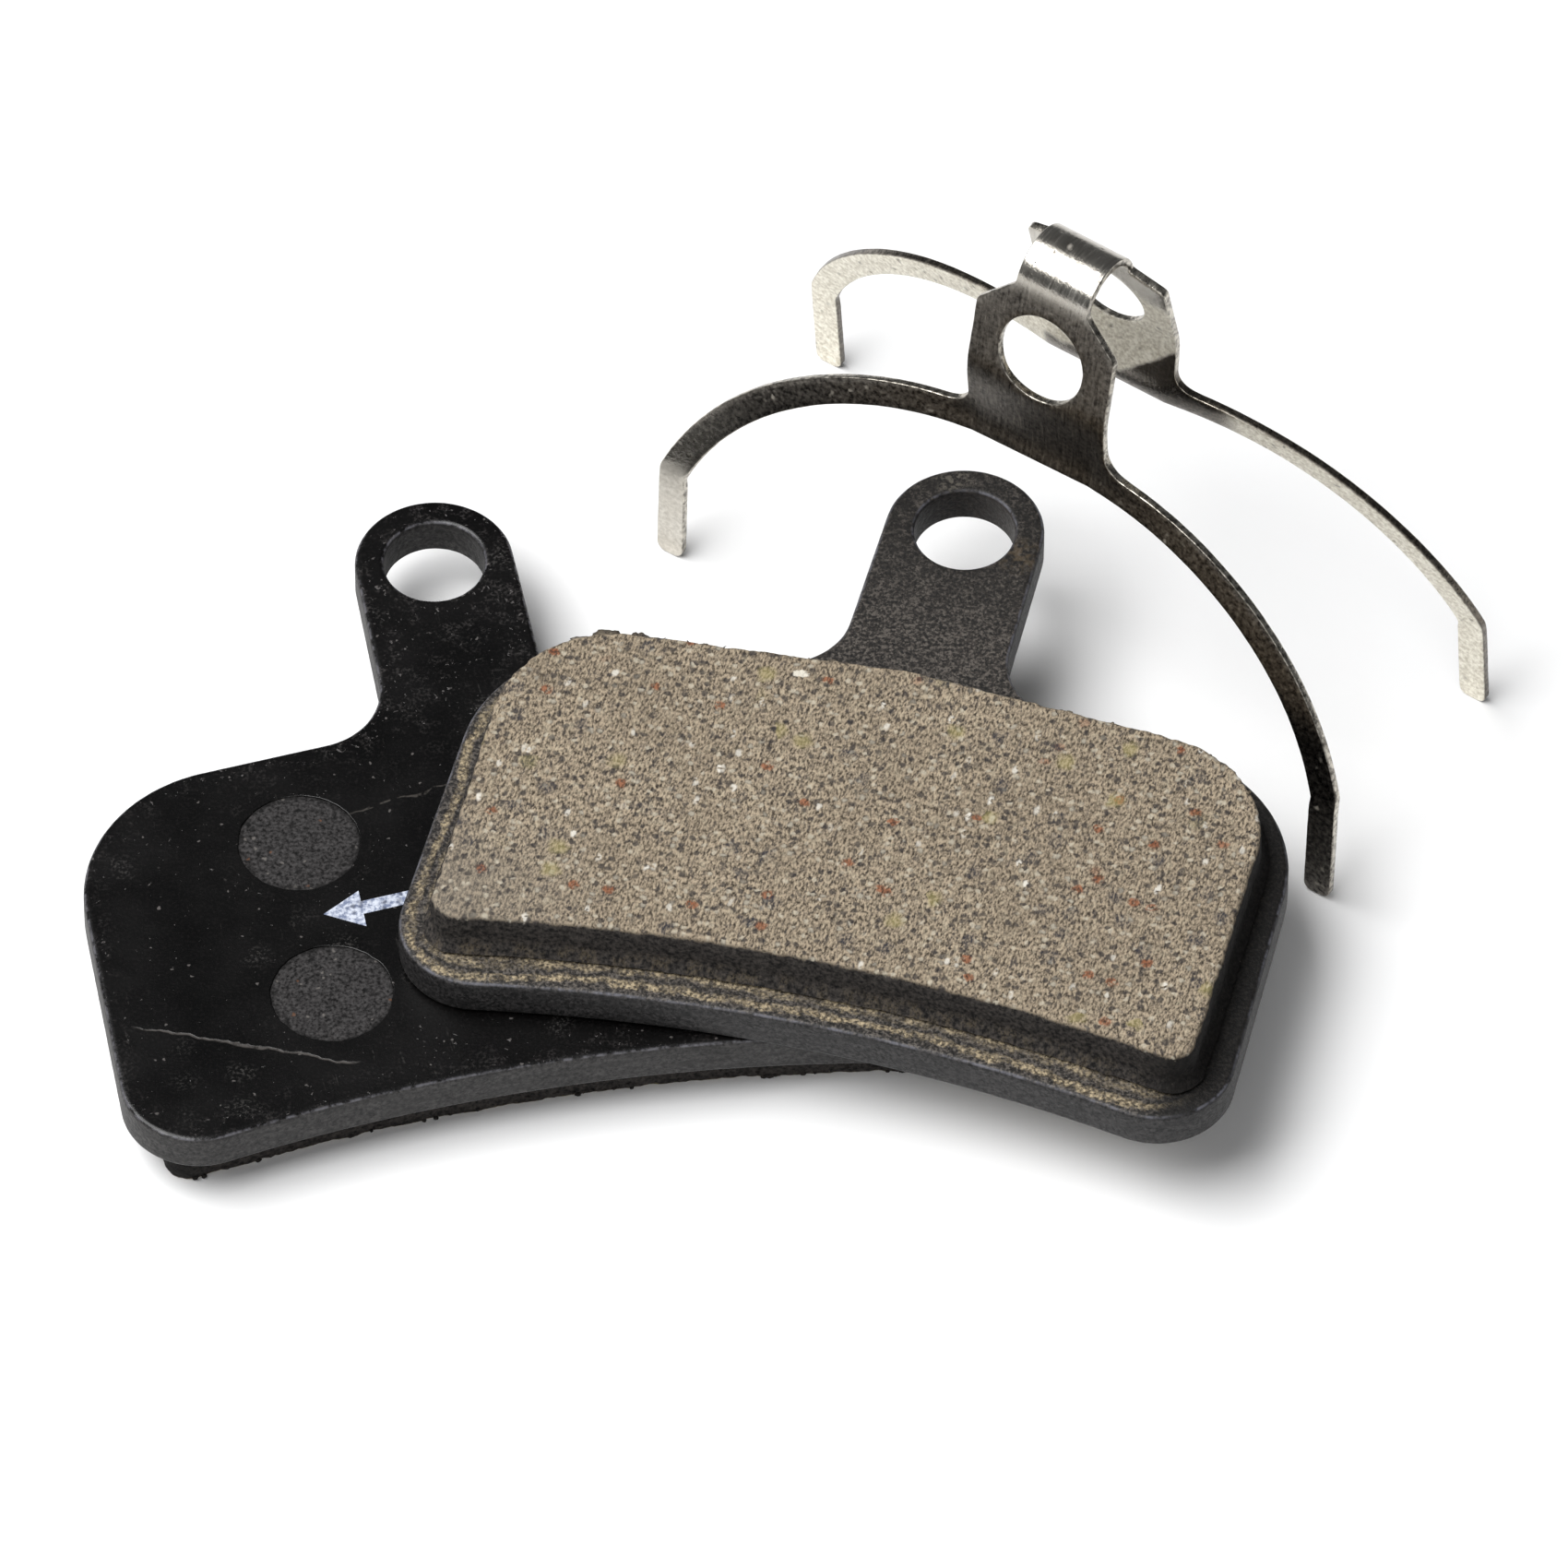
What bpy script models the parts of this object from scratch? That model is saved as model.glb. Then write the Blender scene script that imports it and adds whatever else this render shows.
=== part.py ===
"""Brake pad set: two pads and the spreader spring that holds them apart.

World frame: metres, +Z up, the floor at z = 0. The rear pad lies friction side down, the front pad lies on it
friction side up, and the spring stands on its four leg tips. Every length below is in millimetres.
"""
import math

import bmesh
import bpy
from mathutils import Matrix, Vector

for old in list(bpy.data.objects):
    bpy.data.objects.remove(old, do_unlink=True)

MM = 0.001

# ---- pad, in its own frame: pin hole's centre at x = y = 0, friction face at z = 0, back face at z = PAD_T
LINING_T = 1.96
BOND_T = 0.10
SEAT = 0.02                  # bond line left between touching faces
PLATE_T = 1.90
PAD_T = LINING_T + SEAT + BOND_T + SEAT + PLATE_T
PIN_R = 2.2
TAB_R = 3.49
TAB_FLARE = 0.9              # degrees, each side of the tab
SHOULDER_Y = -8.74           # shoulder line where it would cross the pad's middle
SHOULDER_SLOPE = 5.3         # degrees, falling outwards
NECK_R = 3.13                # fillet between tab and shoulder
SIDE_X = 18.28               # half width at SIDE_Y
SIDE_Y = -17.8
SIDE_FLARE = 0.72            # degrees
UPPER_CORNER_R = 6.9
LOWER_CORNER_R = 3.4
ARC_Y = -28.63               # crown of the concave lower edge
ARC_R = 76.5
RIM = 0.22                   # rounding of the stamped plate's rims

LIN_TOP_Y = -10.05
LIN_TOP_SLOPE = 4.2
LIN_X = 16.92
LIN_SIDE_Y = -20.0
LIN_FLARE = -0.6
LIN_UPPER_R = 5.4
LIN_LOWER_R = 1.1
LIN_ARC_Y = -26.78
LIN_ARC_R = 84.0
LIN_RIM = 0.16
BOND_GROW = 0.12             # the adhesive film shows this far round the lining
REAR_LINING_SHIFT = -0.75    # this lining was moulded slightly lower on its plate

PLUG_R = 2.58
PLUG_HOLE_R = 2.64
PLUG_AT = {"upper_left": (-8.55, -14.6), "upper_right": (8.55, -14.6),
           "lower_left": (-8.6, -23.1), "lower_right": (8.6, -23.1)}
PLUG_RECESS = 0.03

MARK_T = 0.022
MARK_GAP = 0.006

REAR_AT, REAR_YAW = (-15.31, 9.36), 10.85
FRONT_AT, FRONT_YAW = (7.89, 9.52), -14.15
STACK_GAP = 0.06

# ---- spring, in its own frame: X along the pads' width, Y from the front cheek to the rear one, Z up
SPRING_AT, SPRING_YAW = (12.35, 9.38), -34.5
SHEET = 0.40
FOOT_Y = 6.56                # half the distance between the front and rear leg tips
LEAN = {"front": 15.25, "rear": 13.65}
TIP_LEAN = 4.5
TIP_V = 5.35                 # height up the sheet where the tips bend upright
ROLL = {"front": 1.45, "rear": 0.3}
ROLL_V = 23.0
ROLL_FADE = 3.0
ARM_U, ARM_V, ARM_R = 3.90, 0.78, 13.94    # centre and radius of each leg's arc
LEG_W = 1.34
CHEEK_X = 3.55
EYE_V, EYE_R = 20.19, 2.12
SHOULDER_V = {"front": 21.75, "rear": 22.6}
BOW_X = 1.82
BOW_R = 1.69
TUCK, TUCK_V, TUCK_H, BELLY = 0.99, 18.9, 4.4, 0.27   # the sheet tucks in under each cheek and the legs fan out again
ARM_END_U = 16.8
LEG_START_U = 4.75
JOINT_GAP = 0.05

# the frame's origin is the middle of the whole set's footprint, on the floor
ORIGIN = (0.3259, 0.7531)


# ---------------------------------------------------------------- scene helpers
def collection(name):
    c = bpy.data.collections.new(name)
    bpy.context.scene.collection.children.link(c)
    return c


PARTS = collection("brake_pad_set")
CUTTERS = collection("cutters")


def material(name, colour, rough, metal):
    m = bpy.data.materials.new(name)
    m.use_nodes = True
    p = m.node_tree.nodes["Principled BSDF"]
    p.inputs["Base Color"].default_value = (*colour, 1)
    p.inputs["Roughness"].default_value = rough
    p.inputs["Metallic"].default_value = metal
    m.diffuse_color = (*colour, 1)
    return m


def empty(name, at, yaw=0.0, flip=False, parent=None):
    e = bpy.data.objects.new(name, None)
    e.empty_display_size = 0.004
    e.location = [v * MM for v in at]
    e.rotation_euler = (0, math.pi if flip else 0, math.radians(yaw))
    PARTS.objects.link(e)
    if parent:
        e.parent = parent
    return e


def node(name, mesh, mat, parent, at=(0, 0, 0), smooth=30):
    mesh.name = name
    o = bpy.data.objects.new(name, mesh)
    mesh.materials.clear()
    mesh.materials.append(mat)
    for p in mesh.polygons:
        p.use_smooth = True
    mesh.set_sharp_from_angle(angle=math.radians(smooth))
    o.location = [v * MM for v in at]
    o.parent = parent
    PARTS.objects.link(o)
    return o


# ---------------------------------------------------------------- flat outlines
def fillet(p0, d0, p1, d1, r, n):
    """Arc of radius r that joins the line p0 + s d0 to the line p1 + s d1."""
    p0, d0, p1, d1 = Vector(p0), Vector(d0).normalized(), Vector(p1), Vector(d1).normalized()
    det = d0.x * -d1.y + d1.x * d0.y
    q = p1 - p0
    s = (q.x * -d1.y + d1.x * q.y) / det
    cross = p0 + s * d0
    half = math.acos(max(-1, min(1, (-d0).dot(d1)))) / 2
    a = cross - d0 * (r / math.tan(half))
    b = cross + d1 * (r / math.tan(half))
    c = cross + (d1 - d0).normalized() * (r / math.sin(half))
    a0 = math.atan2(a.y - c.y, a.x - c.x)
    a1 = math.atan2(b.y - c.y, b.x - c.x)
    da = (a1 - a0 + math.pi) % (2 * math.pi) - math.pi
    return [(c.x + r * math.cos(a0 + da * i / n), c.y + r * math.sin(a0 + da * i / n)) for i in range(n + 1)]


def lower_edge(px, py, flare, r, arc_y, arc_r, n_corner, n_arc):
    """Round lower corner from the side line into the concave lower edge, ending at the middle."""
    a = math.radians(flare)
    nrm = Vector((math.cos(a), math.sin(a)))
    down = Vector((math.sin(a), -math.cos(a)))
    c0 = Vector((0, arc_y - arc_r))
    q = Vector((px, py)) - nrm * r
    b = (q - c0).dot(down)
    c = (q - c0).length_squared - (arc_r + r) ** 2
    mid = q + down * (-b - math.sqrt(b * b - c))
    a0 = math.atan2(nrm.y, nrm.x)
    v = c0 - mid
    da = (math.atan2(v.y, v.x) - a0 + math.pi) % (2 * math.pi) - math.pi
    if da > 0:
        da -= 2 * math.pi
    pts = [(mid.x + r * math.cos(a0 + da * i / n_corner), mid.y + r * math.sin(a0 + da * i / n_corner))
           for i in range(n_corner + 1)]
    t = mid + v.normalized() * r
    w0 = math.atan2(t.y - c0.y, t.x - c0.x)
    pts += [(c0.x + arc_r * math.cos(w0 + (math.pi / 2 - w0) * i / n_arc),
             c0.y + arc_r * math.sin(w0 + (math.pi / 2 - w0) * i / n_arc)) for i in range(1, n_arc + 1)]
    return pts


def mirrored(half):
    """Closed outline from its right half, which runs from the top middle to the bottom middle."""
    left = [(-x, y) for x, y in reversed(half[1:-1])]
    out = []
    for p in half + left:
        if not out or (Vector(p) - Vector(out[-1])).length > 0.02:
            out.append(p)
    return out


def plate_outline():
    a = math.radians(TAB_FLARE)
    top = [(TAB_R * math.cos(math.pi / 2 + (a - math.pi / 2) * i / 14),
            TAB_R * math.sin(math.pi / 2 + (a - math.pi / 2) * i / 14)) for i in range(15)]
    s = math.radians(SHOULDER_SLOPE)
    d0, d1 = (math.sin(a), -math.cos(a)), (math.cos(s), -math.sin(s))
    f = math.radians(SIDE_FLARE)
    d2 = (math.sin(f), -math.cos(f))
    half = top + fillet(top[-1], d0, (0, SHOULDER_Y), d1, NECK_R, 8)
    half += fillet((0, SHOULDER_Y), d1, (SIDE_X, SIDE_Y), d2, UPPER_CORNER_R, 12)
    half += lower_edge(SIDE_X, SIDE_Y, SIDE_FLARE, LOWER_CORNER_R, ARC_Y, ARC_R, 12, 12)
    return mirrored(half)


def lining_outline(grow=0.0, shift=0.0):
    s = math.radians(LIN_TOP_SLOPE)
    f = math.radians(LIN_FLARE)
    top = (0, LIN_TOP_Y + grow)
    d1, d2 = (math.cos(s), -math.sin(s)), (math.sin(f), -math.cos(f))
    half = [top] + fillet(top, d1, (LIN_X + grow, LIN_SIDE_Y), d2, LIN_UPPER_R + grow, 12)
    half += lower_edge(LIN_X + grow, LIN_SIDE_Y, LIN_FLARE, LIN_LOWER_R + grow, LIN_ARC_Y - grow, LIN_ARC_R, 8, 12)
    return mirrored([(x, y + shift) for x, y in half])


def circle(cx, cy, r, n):
    return [(cx + r * math.cos(2 * math.pi * i / n), cy + r * math.sin(2 * math.pi * i / n)) for i in range(n)]


def flat_solid(name, loops, z0, z1):
    """Flat plate from closed outlines (the first is the edge, the others are holes), between z0 and z1."""
    cu = bpy.data.curves.new(name + "_outline", "CURVE")
    cu.dimensions = "2D"
    cu.fill_mode = "BOTH"
    cu.extrude = (z1 - z0) / 2 * MM
    for loop in loops:
        sp = cu.splines.new("POLY")
        sp.points.add(len(loop) - 1)
        for pt, (x, y) in zip(sp.points, loop):
            pt.co = (x * MM, y * MM, 0, 1)
        sp.use_cyclic_u = True
    co = bpy.data.objects.new(name + "_outline", cu)
    bpy.context.scene.collection.objects.link(co)
    dg = bpy.context.evaluated_depsgraph_get()
    dg.update()
    mesh = bpy.data.meshes.new_from_object(co.evaluated_get(dg))
    bpy.data.objects.remove(co, do_unlink=True)
    bpy.data.curves.remove(cu)
    bm = bmesh.new()
    bm.from_mesh(mesh)
    bmesh.ops.remove_doubles(bm, verts=bm.verts, dist=1e-7)
    bmesh.ops.translate(bm, verts=bm.verts, vec=(0, 0, (z0 + z1) / 2 * MM))
    bmesh.ops.recalc_face_normals(bm, faces=bm.faces)
    bm.to_mesh(mesh)
    bm.free()
    return mesh


def merge_caps(bm):
    """The flat faces of a solid with no holes become one face each, so that its rims bevel cleanly."""
    for sign in (1, -1):
        caps = [f for f in bm.faces if f.normal.z * sign > 0.99]
        if len(caps) > 1:
            bmesh.ops.dissolve_faces(bm, faces=caps)


def round_rims(mesh, width, segments, sides=(1, -1)):
    bm = bmesh.new()
    bm.from_mesh(mesh)
    merge_caps(bm)
    bm.normal_update()
    rims = []
    for e in bm.edges:
        if len(e.link_faces) == 2:
            nz = [f.normal.z for f in e.link_faces]
            if any(n * s > 0.99 for n in nz for s in sides) and any(abs(n) < 0.01 for n in nz):
                rims.append(e)
    bmesh.ops.bevel(bm, geom=rims, offset=width * MM, segments=segments, profile=0.5, affect="EDGES",
                    clamp_overlap=True)
    bm.to_mesh(mesh)
    bm.free()
    return mesh


def drill(name, target, holes, z0, z1, n):
    """Cuts round holes right through a flat solid."""
    for i, (x, y, r) in enumerate(holes):
        bm = bmesh.new()
        bmesh.ops.create_cone(bm, cap_ends=True, segments=n, radius1=r * MM, radius2=r * MM,
                              depth=(z1 - z0 + 2) * MM,
                              matrix=Matrix.Translation((x * MM, y * MM, (z0 + z1) / 2 * MM)))
        me = bpy.data.meshes.new(f"{name}_cutter_{i}")
        bm.to_mesh(me)
        bm.free()
        c = bpy.data.objects.new(f"{name}_cutter_{i}", me)
        c.hide_render = True
        c.display_type = "WIRE"
        CUTTERS.objects.link(c)
        c.parent = target.parent
        mod = target.modifiers.new(f"hole_{i}", "BOOLEAN")
        mod.operation = "DIFFERENCE"
        mod.solver = "EXACT"
        mod.object = c


# ---------------------------------------------------------------- pads
PAINT = material("black_paint", (0.012, 0.012, 0.013), 0.32, 0.0)
PAINT_DULL = material("worn_black_paint", (0.02, 0.02, 0.021), 0.55, 0.0)
LINING = material("organic_lining", (0.20, 0.17, 0.13), 0.95, 0.0)
LINING_DARK = material("organic_lining_dark", (0.05, 0.05, 0.052), 0.95, 0.0)
BOND = material("bond_film", (0.03, 0.03, 0.032), 0.8, 0.0)
INK = material("white_ink", (0.75, 0.78, 0.85), 0.6, 0.0)
STEEL = material("spring_steel", (0.55, 0.54, 0.52), 0.25, 1.0)


def pad(prefix, at, z, yaw, flip, shift, paint, plug_mat):
    root = empty(prefix + "_pad_frame", (*at, z), yaw, flip)
    zb = LINING_T + SEAT
    zp = zb + BOND_T + SEAT
    # backing plate
    me = round_rims(flat_solid(prefix + "_plate", [plate_outline()], zp, PAD_T), RIM, 2)
    plate = node(prefix + "_backing_plate", me, paint, root)
    drill(prefix + "_plug_hole", plate, [(x, y, PLUG_HOLE_R) for x, y in PLUG_AT.values()], zp, PAD_T, 32)
    drill(prefix + "_pin_hole", plate, [(0, 0, PIN_R)], zp, PAD_T, 48)
    # adhesive film, open where the plugs pass through it
    holes = [circle(x, y, PLUG_HOLE_R, 32) for x, y in PLUG_AT.values()]
    node(prefix + "_bond_layer", flat_solid(prefix + "_bond", [lining_outline(BOND_GROW, shift)] + holes, zb, zb + BOND_T),
         BOND, root)
    # friction lining
    me = round_rims(flat_solid(prefix + "_lining", [lining_outline(0, shift)], 0, LINING_T), LIN_RIM, 1, sides=(-1,))
    node(prefix + "_friction_lining", me, LINING, root)
    # keying plugs that fill the plate's four holes
    for label, (x, y) in PLUG_AT.items():
        me = flat_solid(f"{prefix}_plug", [circle(0, 0, PLUG_R, 32)], 0, PAD_T - PLUG_RECESS - zb)
        node(f"{prefix}_plug_{label}", round_rims(me, 0.08, 1, sides=(1,)), plug_mat, root, at=(x, y, zb))
    return root


rear = pad("rear", REAR_AT, 0, REAR_YAW, False, REAR_LINING_SHIFT, PAINT, LINING_DARK)
front = pad("front", FRONT_AT, 2 * PAD_T + STACK_GAP, FRONT_YAW, True, 0, PAINT_DULL, LINING_DARK)

# plain arrow printed on the rear pad's back
ARROW = [(-8.2, -18.75), (-6.5, -17.75), (-6.5, -18.35), (-3.4, -18.05), (-3.4, -18.75), (-6.5, -19.05), (-6.5, -19.75)]
node("rear_direction_mark", flat_solid("mark", [ARROW], PAD_T + MARK_GAP, PAD_T + MARK_GAP + MARK_T), INK, rear)


# ---------------------------------------------------------------- spring
SIDE = {"front": -1, "rear": 1}


def upper_line(which):
    """Point and direction, in the spring's Y-Z plane, of a cheek above the bend of its tips."""
    t, l = math.radians(TIP_LEAN), math.radians(LEAN[which])
    y = SIDE[which] * (FOOT_Y - TIP_V * math.sin(t))
    return Vector((y, TIP_V * math.cos(t))), Vector((-SIDE[which] * math.sin(l), math.cos(l)))


def bow_centre():
    """Centre of the bow, at BOW_R from the lines of both cheeks."""
    (pf, df), (pr, dr) = upper_line("front"), upper_line("rear")
    nf, nr = Vector((df.y, -df.x)), Vector((-dr.y, dr.x))
    pf, pr = pf + nf * BOW_R, pr + nr * BOW_R
    det = df.x * -dr.y + dr.x * df.y
    q = pr - pf
    s = (q.x * -dr.y + dr.x * q.y) / det
    return pf + s * df


BOW_C = bow_centre()


def bow_v(which):
    p, d = upper_line(which)
    return TIP_V + (BOW_C - p).dot(d)


def sheet_point(which, u, v, off=0.0):
    """Point of the spring's sheet: u along the pads' width, v up the sheet from the floor; off away from the middle."""
    s = SIDE[which]
    fade = max(0.0, min(1.0, (bow_v(which) - v) / ROLL_FADE))
    roll = math.radians(ROLL[which]) * fade
    ur = u * math.cos(roll) - (v - ROLL_V) * math.sin(roll)
    vr = u * math.sin(roll) + (v - ROLL_V) * math.cos(roll) + ROLL_V
    t, l = math.radians(TIP_LEAN), math.radians(LEAN[which])
    vt, vu = min(vr, TIP_V), max(vr - TIP_V, 0.0)
    y = s * (FOOT_Y - vt * math.sin(t) - vu * math.sin(l))
    z = vt * math.cos(t) + vu * math.cos(l)
    along = max(0.0, min(1.0, (abs(ur) - 3.0) / (ARM_END_U - 3.0)))
    ramp = max(0.0, min(1.0, (TUCK_V - vr) / TUCK_H))
    ramp = ramp * ramp * (3 - 2 * ramp)
    foot = max(0.0, min(1.0, vr / 5.0))
    y += s * (BELLY * math.sin(math.pi * along) - TUCK * (1 - along)) * ramp * foot
    return (ur, y, z)


def solidified(name, bm, pivot, which):
    """Sheet of the spring's thickness, equally to both sides of the surface, with pivot as its origin."""
    bmesh.ops.translate(bm, verts=bm.verts, vec=[-c * MM for c in pivot])
    bmesh.ops.recalc_face_normals(bm, faces=bm.faces)
    me = bpy.data.meshes.new(name)
    bm.to_mesh(me)
    bm.free()
    o = node(name, me, STEEL, SPRING_BODY[which], smooth=45)
    mod = o.modifiers.new("sheet", "SOLIDIFY")
    mod.thickness = SHEET * MM
    mod.offset = 0
    mod.use_even_offset = True
    return o


spring = empty("spring_frame", (*SPRING_AT, 0.02), SPRING_YAW)
PIVOT = (0.0, BOW_C.x, BOW_C.y)
rear_half = empty("spring_rear_axis", PIVOT, 0, False, spring)
SPRING_BODY = {"front": spring, "rear": rear_half}
ORIGIN_OF = {"front": (0, 0, 0), "rear": PIVOT}


def cheek_half(which):
    r_in, r_out = ARM_R - LEG_W / 2, ARM_R + LEG_W / 2
    root = LEG_START_U - JOINT_GAP
    pts = [(0, ARM_V + r_in), (ARM_U, ARM_V + r_in)]
    for i in (1, 2):
        u = ARM_U + (root - ARM_U) * i / 2
        pts.append((u, ARM_V + math.sqrt(r_in ** 2 - (u - ARM_U) ** 2)))
    top = ARM_V + math.sqrt(r_out ** 2 - (root - ARM_U) ** 2)
    pts.append((root, top))
    r = 1.05
    pts += [(CHEEK_X + r - r * math.sin(math.pi / 2 * i / 5), top + 0.03 + r - r * math.cos(math.pi / 2 * i / 5))
            for i in range(0, 6)]
    shoulder = SHOULDER_V[which]
    pts += fillet((CHEEK_X, 17), (0, 1), (CHEEK_X, shoulder), (BOW_X - CHEEK_X, bow_v(which) - JOINT_GAP - shoulder), 0.35, 3)
    return pts


def cheek(which):
    vb = bow_v(which) - JOINT_GAP
    half = cheek_half(which) + [(BOW_X, vb), (0, vb)]
    loop = mirrored(half)
    me = flat_solid("cheek", [loop, circle(0, EYE_V, EYE_R, 36)], 0, 0.1)
    bm = bmesh.new()
    bm.from_mesh(me)
    bpy.data.meshes.remove(me)
    bm.normal_update()
    bmesh.ops.delete(bm, geom=[f for f in bm.faces if f.normal.z < 0.5], context="FACES")
    for v in [TUCK_V - TUCK_H * i / 5 for i in range(6)] + [bow_v(which) - ROLL_FADE * i / 3 for i in range(1, 4)]:
        bmesh.ops.bisect_plane(bm, geom=bm.verts[:] + bm.edges[:] + bm.faces[:], plane_co=(0, v * MM, 0),
                               plane_no=(0, 1, 0), dist=1e-7)
    for u in (-2.4, 0, 2.4):
        bmesh.ops.bisect_plane(bm, geom=bm.verts[:] + bm.edges[:] + bm.faces[:], plane_co=(u * MM, 0, 0),
                               plane_no=(1, 0, 0), dist=1e-7)
    for p in bm.verts:
        p.co = [c * MM for c in sheet_point(which, p.co.x / MM, p.co.y / MM)]
    solidified(f"spring_{which}_cheek", bm, ORIGIN_OF[which], which)


def leg_point(which, sx, along, across):
    """along runs 0 to 1 from the cheek to the tip; across runs -0.5 (inner edge) to 0.5 (outer edge)."""
    roll = math.radians(ROLL[which])
    a0 = math.acos((LEG_START_U - ARM_U) / ARM_R)
    a1 = math.asin((TIP_V - ARM_V) / ARM_R)
    arc = ARM_R * (a0 - a1)
    end_u = ARM_U + ARM_R * math.cos(a1)
    end_v = -sx * end_u * math.tan(roll)
    total = arc + (TIP_V - end_v)
    s = along * total
    if s < arc:
        a = a0 - s / ARM_R
        r = ARM_R + across * LEG_W
        u, v = ARM_U + r * math.cos(a), ARM_V + r * math.sin(a)
        if s < 0.01:
            u = LEG_START_U
            v = ARM_V + math.sqrt(r * r - (u - ARM_U) ** 2)
    else:
        down = s - arc
        bend = min(1.0, down / 1.2)
        r = across * LEG_W
        tilt = a1 * (1 - bend)
        u, v = end_u + r * math.cos(tilt), TIP_V - down + r * math.sin(tilt)
        left = total - s
        if left < 0.45 and abs(across) > 0.3:
            u = end_u + r * (1 - 0.35 * (1 - left / 0.45) ** 2)
    return sheet_point(which, sx * u, v)


def leg(which, label, sx):
    n = 34
    bm = bmesh.new()
    bmesh.ops.create_grid(bm, x_segments=n, y_segments=2, size=0.5)
    for p in bm.verts:
        along = p.co.x + 0.5
        along = min(1.0, max(0.0, along))
        p.co = [c * MM for c in leg_point(which, sx, along, max(-0.5, min(0.5, p.co.y)))]
    solidified(f"spring_{which}_{label}_leg", bm, ORIGIN_OF[which], which)


def bow():
    """Rolled saddle over the top, from the front cheek to the rear cheek."""
    a0 = math.pi + math.radians(LEAN["front"]) * -1
    a1 = math.radians(LEAN["rear"])
    gap = JOINT_GAP / BOW_R
    a0, a1 = a0 - gap * 0.5, a1 + gap * 0.5
    bm = bmesh.new()
    bmesh.ops.create_grid(bm, x_segments=4, y_segments=22, size=0.5)
    for p in bm.verts:
        t = min(1.0, max(0.0, p.co.y + 0.5))
        a = a0 + (a1 - a0) * t
        p.co = ((2 * BOW_X * p.co.x) * MM, (BOW_C.x + BOW_R * math.cos(a)) * MM, (BOW_C.y + BOW_R * math.sin(a)) * MM)
    solidified("spring_bow", bm, (0, 0, 0), "front")


bow()
for which in ("front", "rear"):
    cheek(which)
    leg(which, "left", -1)
    leg(which, "right", 1)

# ---------------------------------------------------------------- put the frame's origin under the middle of the set
for top in (rear, front, spring):
    top.location.x -= ORIGIN[0] * MM
    top.location.y -= ORIGIN[1] * MM
bpy.context.view_layer.update()
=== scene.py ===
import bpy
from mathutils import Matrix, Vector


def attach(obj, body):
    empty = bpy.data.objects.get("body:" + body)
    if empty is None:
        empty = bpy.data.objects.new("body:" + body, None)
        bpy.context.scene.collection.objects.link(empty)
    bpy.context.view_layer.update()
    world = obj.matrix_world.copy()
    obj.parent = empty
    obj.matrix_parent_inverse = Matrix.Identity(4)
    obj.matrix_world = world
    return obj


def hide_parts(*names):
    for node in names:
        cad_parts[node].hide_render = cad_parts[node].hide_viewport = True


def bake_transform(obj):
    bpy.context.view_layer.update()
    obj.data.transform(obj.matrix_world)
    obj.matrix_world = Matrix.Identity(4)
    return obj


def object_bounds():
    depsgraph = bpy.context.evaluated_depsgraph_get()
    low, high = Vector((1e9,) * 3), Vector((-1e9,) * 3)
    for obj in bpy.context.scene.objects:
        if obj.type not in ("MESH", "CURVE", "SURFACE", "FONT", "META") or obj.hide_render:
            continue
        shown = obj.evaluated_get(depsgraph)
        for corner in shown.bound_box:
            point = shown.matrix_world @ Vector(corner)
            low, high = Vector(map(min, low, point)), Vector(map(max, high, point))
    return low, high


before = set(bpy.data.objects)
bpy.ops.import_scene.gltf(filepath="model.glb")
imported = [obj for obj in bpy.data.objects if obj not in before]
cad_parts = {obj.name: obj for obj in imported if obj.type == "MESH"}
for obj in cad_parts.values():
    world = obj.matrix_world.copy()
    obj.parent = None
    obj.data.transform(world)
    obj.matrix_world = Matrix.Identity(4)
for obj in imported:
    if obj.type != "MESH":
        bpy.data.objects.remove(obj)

import math

import bmesh
import bpy
import numpy as np
from mathutils import Matrix, Vector, noise
from mathutils.geometry import delaunay_2d_cdt

CAD_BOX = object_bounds()
MM = 0.001
ORIGIN = (0.3259, 0.7531)

# ------------------------------------------------------------------ sizes shared with the part (mm)
LINING_T, SEAT, BOND_T, PLATE_T = 1.96, 0.02, 0.10, 1.90
PLATE_Z0 = LINING_T + SEAT + BOND_T + SEAT
PAD_T = PLATE_Z0 + PLATE_T
PIN_R, TAB_R, TAB_FLARE = 2.2, 3.49, 0.9
SHOULDER_Y, SHOULDER_SLOPE, NECK_R = -8.74, 5.3, 3.13
SIDE_X, SIDE_Y, SIDE_FLARE = 18.28, -17.8, 0.72
UPPER_CORNER_R, LOWER_CORNER_R = 6.9, 3.4
ARC_Y, ARC_R, RIM = -28.63, 76.5, 0.22
LIN_TOP_Y, LIN_TOP_SLOPE, LIN_X, LIN_SIDE_Y, LIN_FLARE = -10.05, 4.2, 16.92, -20.0, -0.6
LIN_UPPER_R, LIN_LOWER_R, LIN_ARC_Y, LIN_ARC_R = 5.4, 1.1, -26.78, 84.0
PLUG_R, PLUG_HOLE_R = 2.58, 2.64
PLUG_AT = {"upper_left": (-8.55, -14.6), "upper_right": (8.55, -14.6),
           "lower_left": (-8.6, -23.1), "lower_right": (8.6, -23.1)}
REAR_AT, REAR_YAW, REAR_SHIFT = (-15.31, 9.36), 10.85, -0.75
FRONT_AT, FRONT_YAW = (7.89, 9.52), -14.15
STACK_GAP = 0.06

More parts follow.
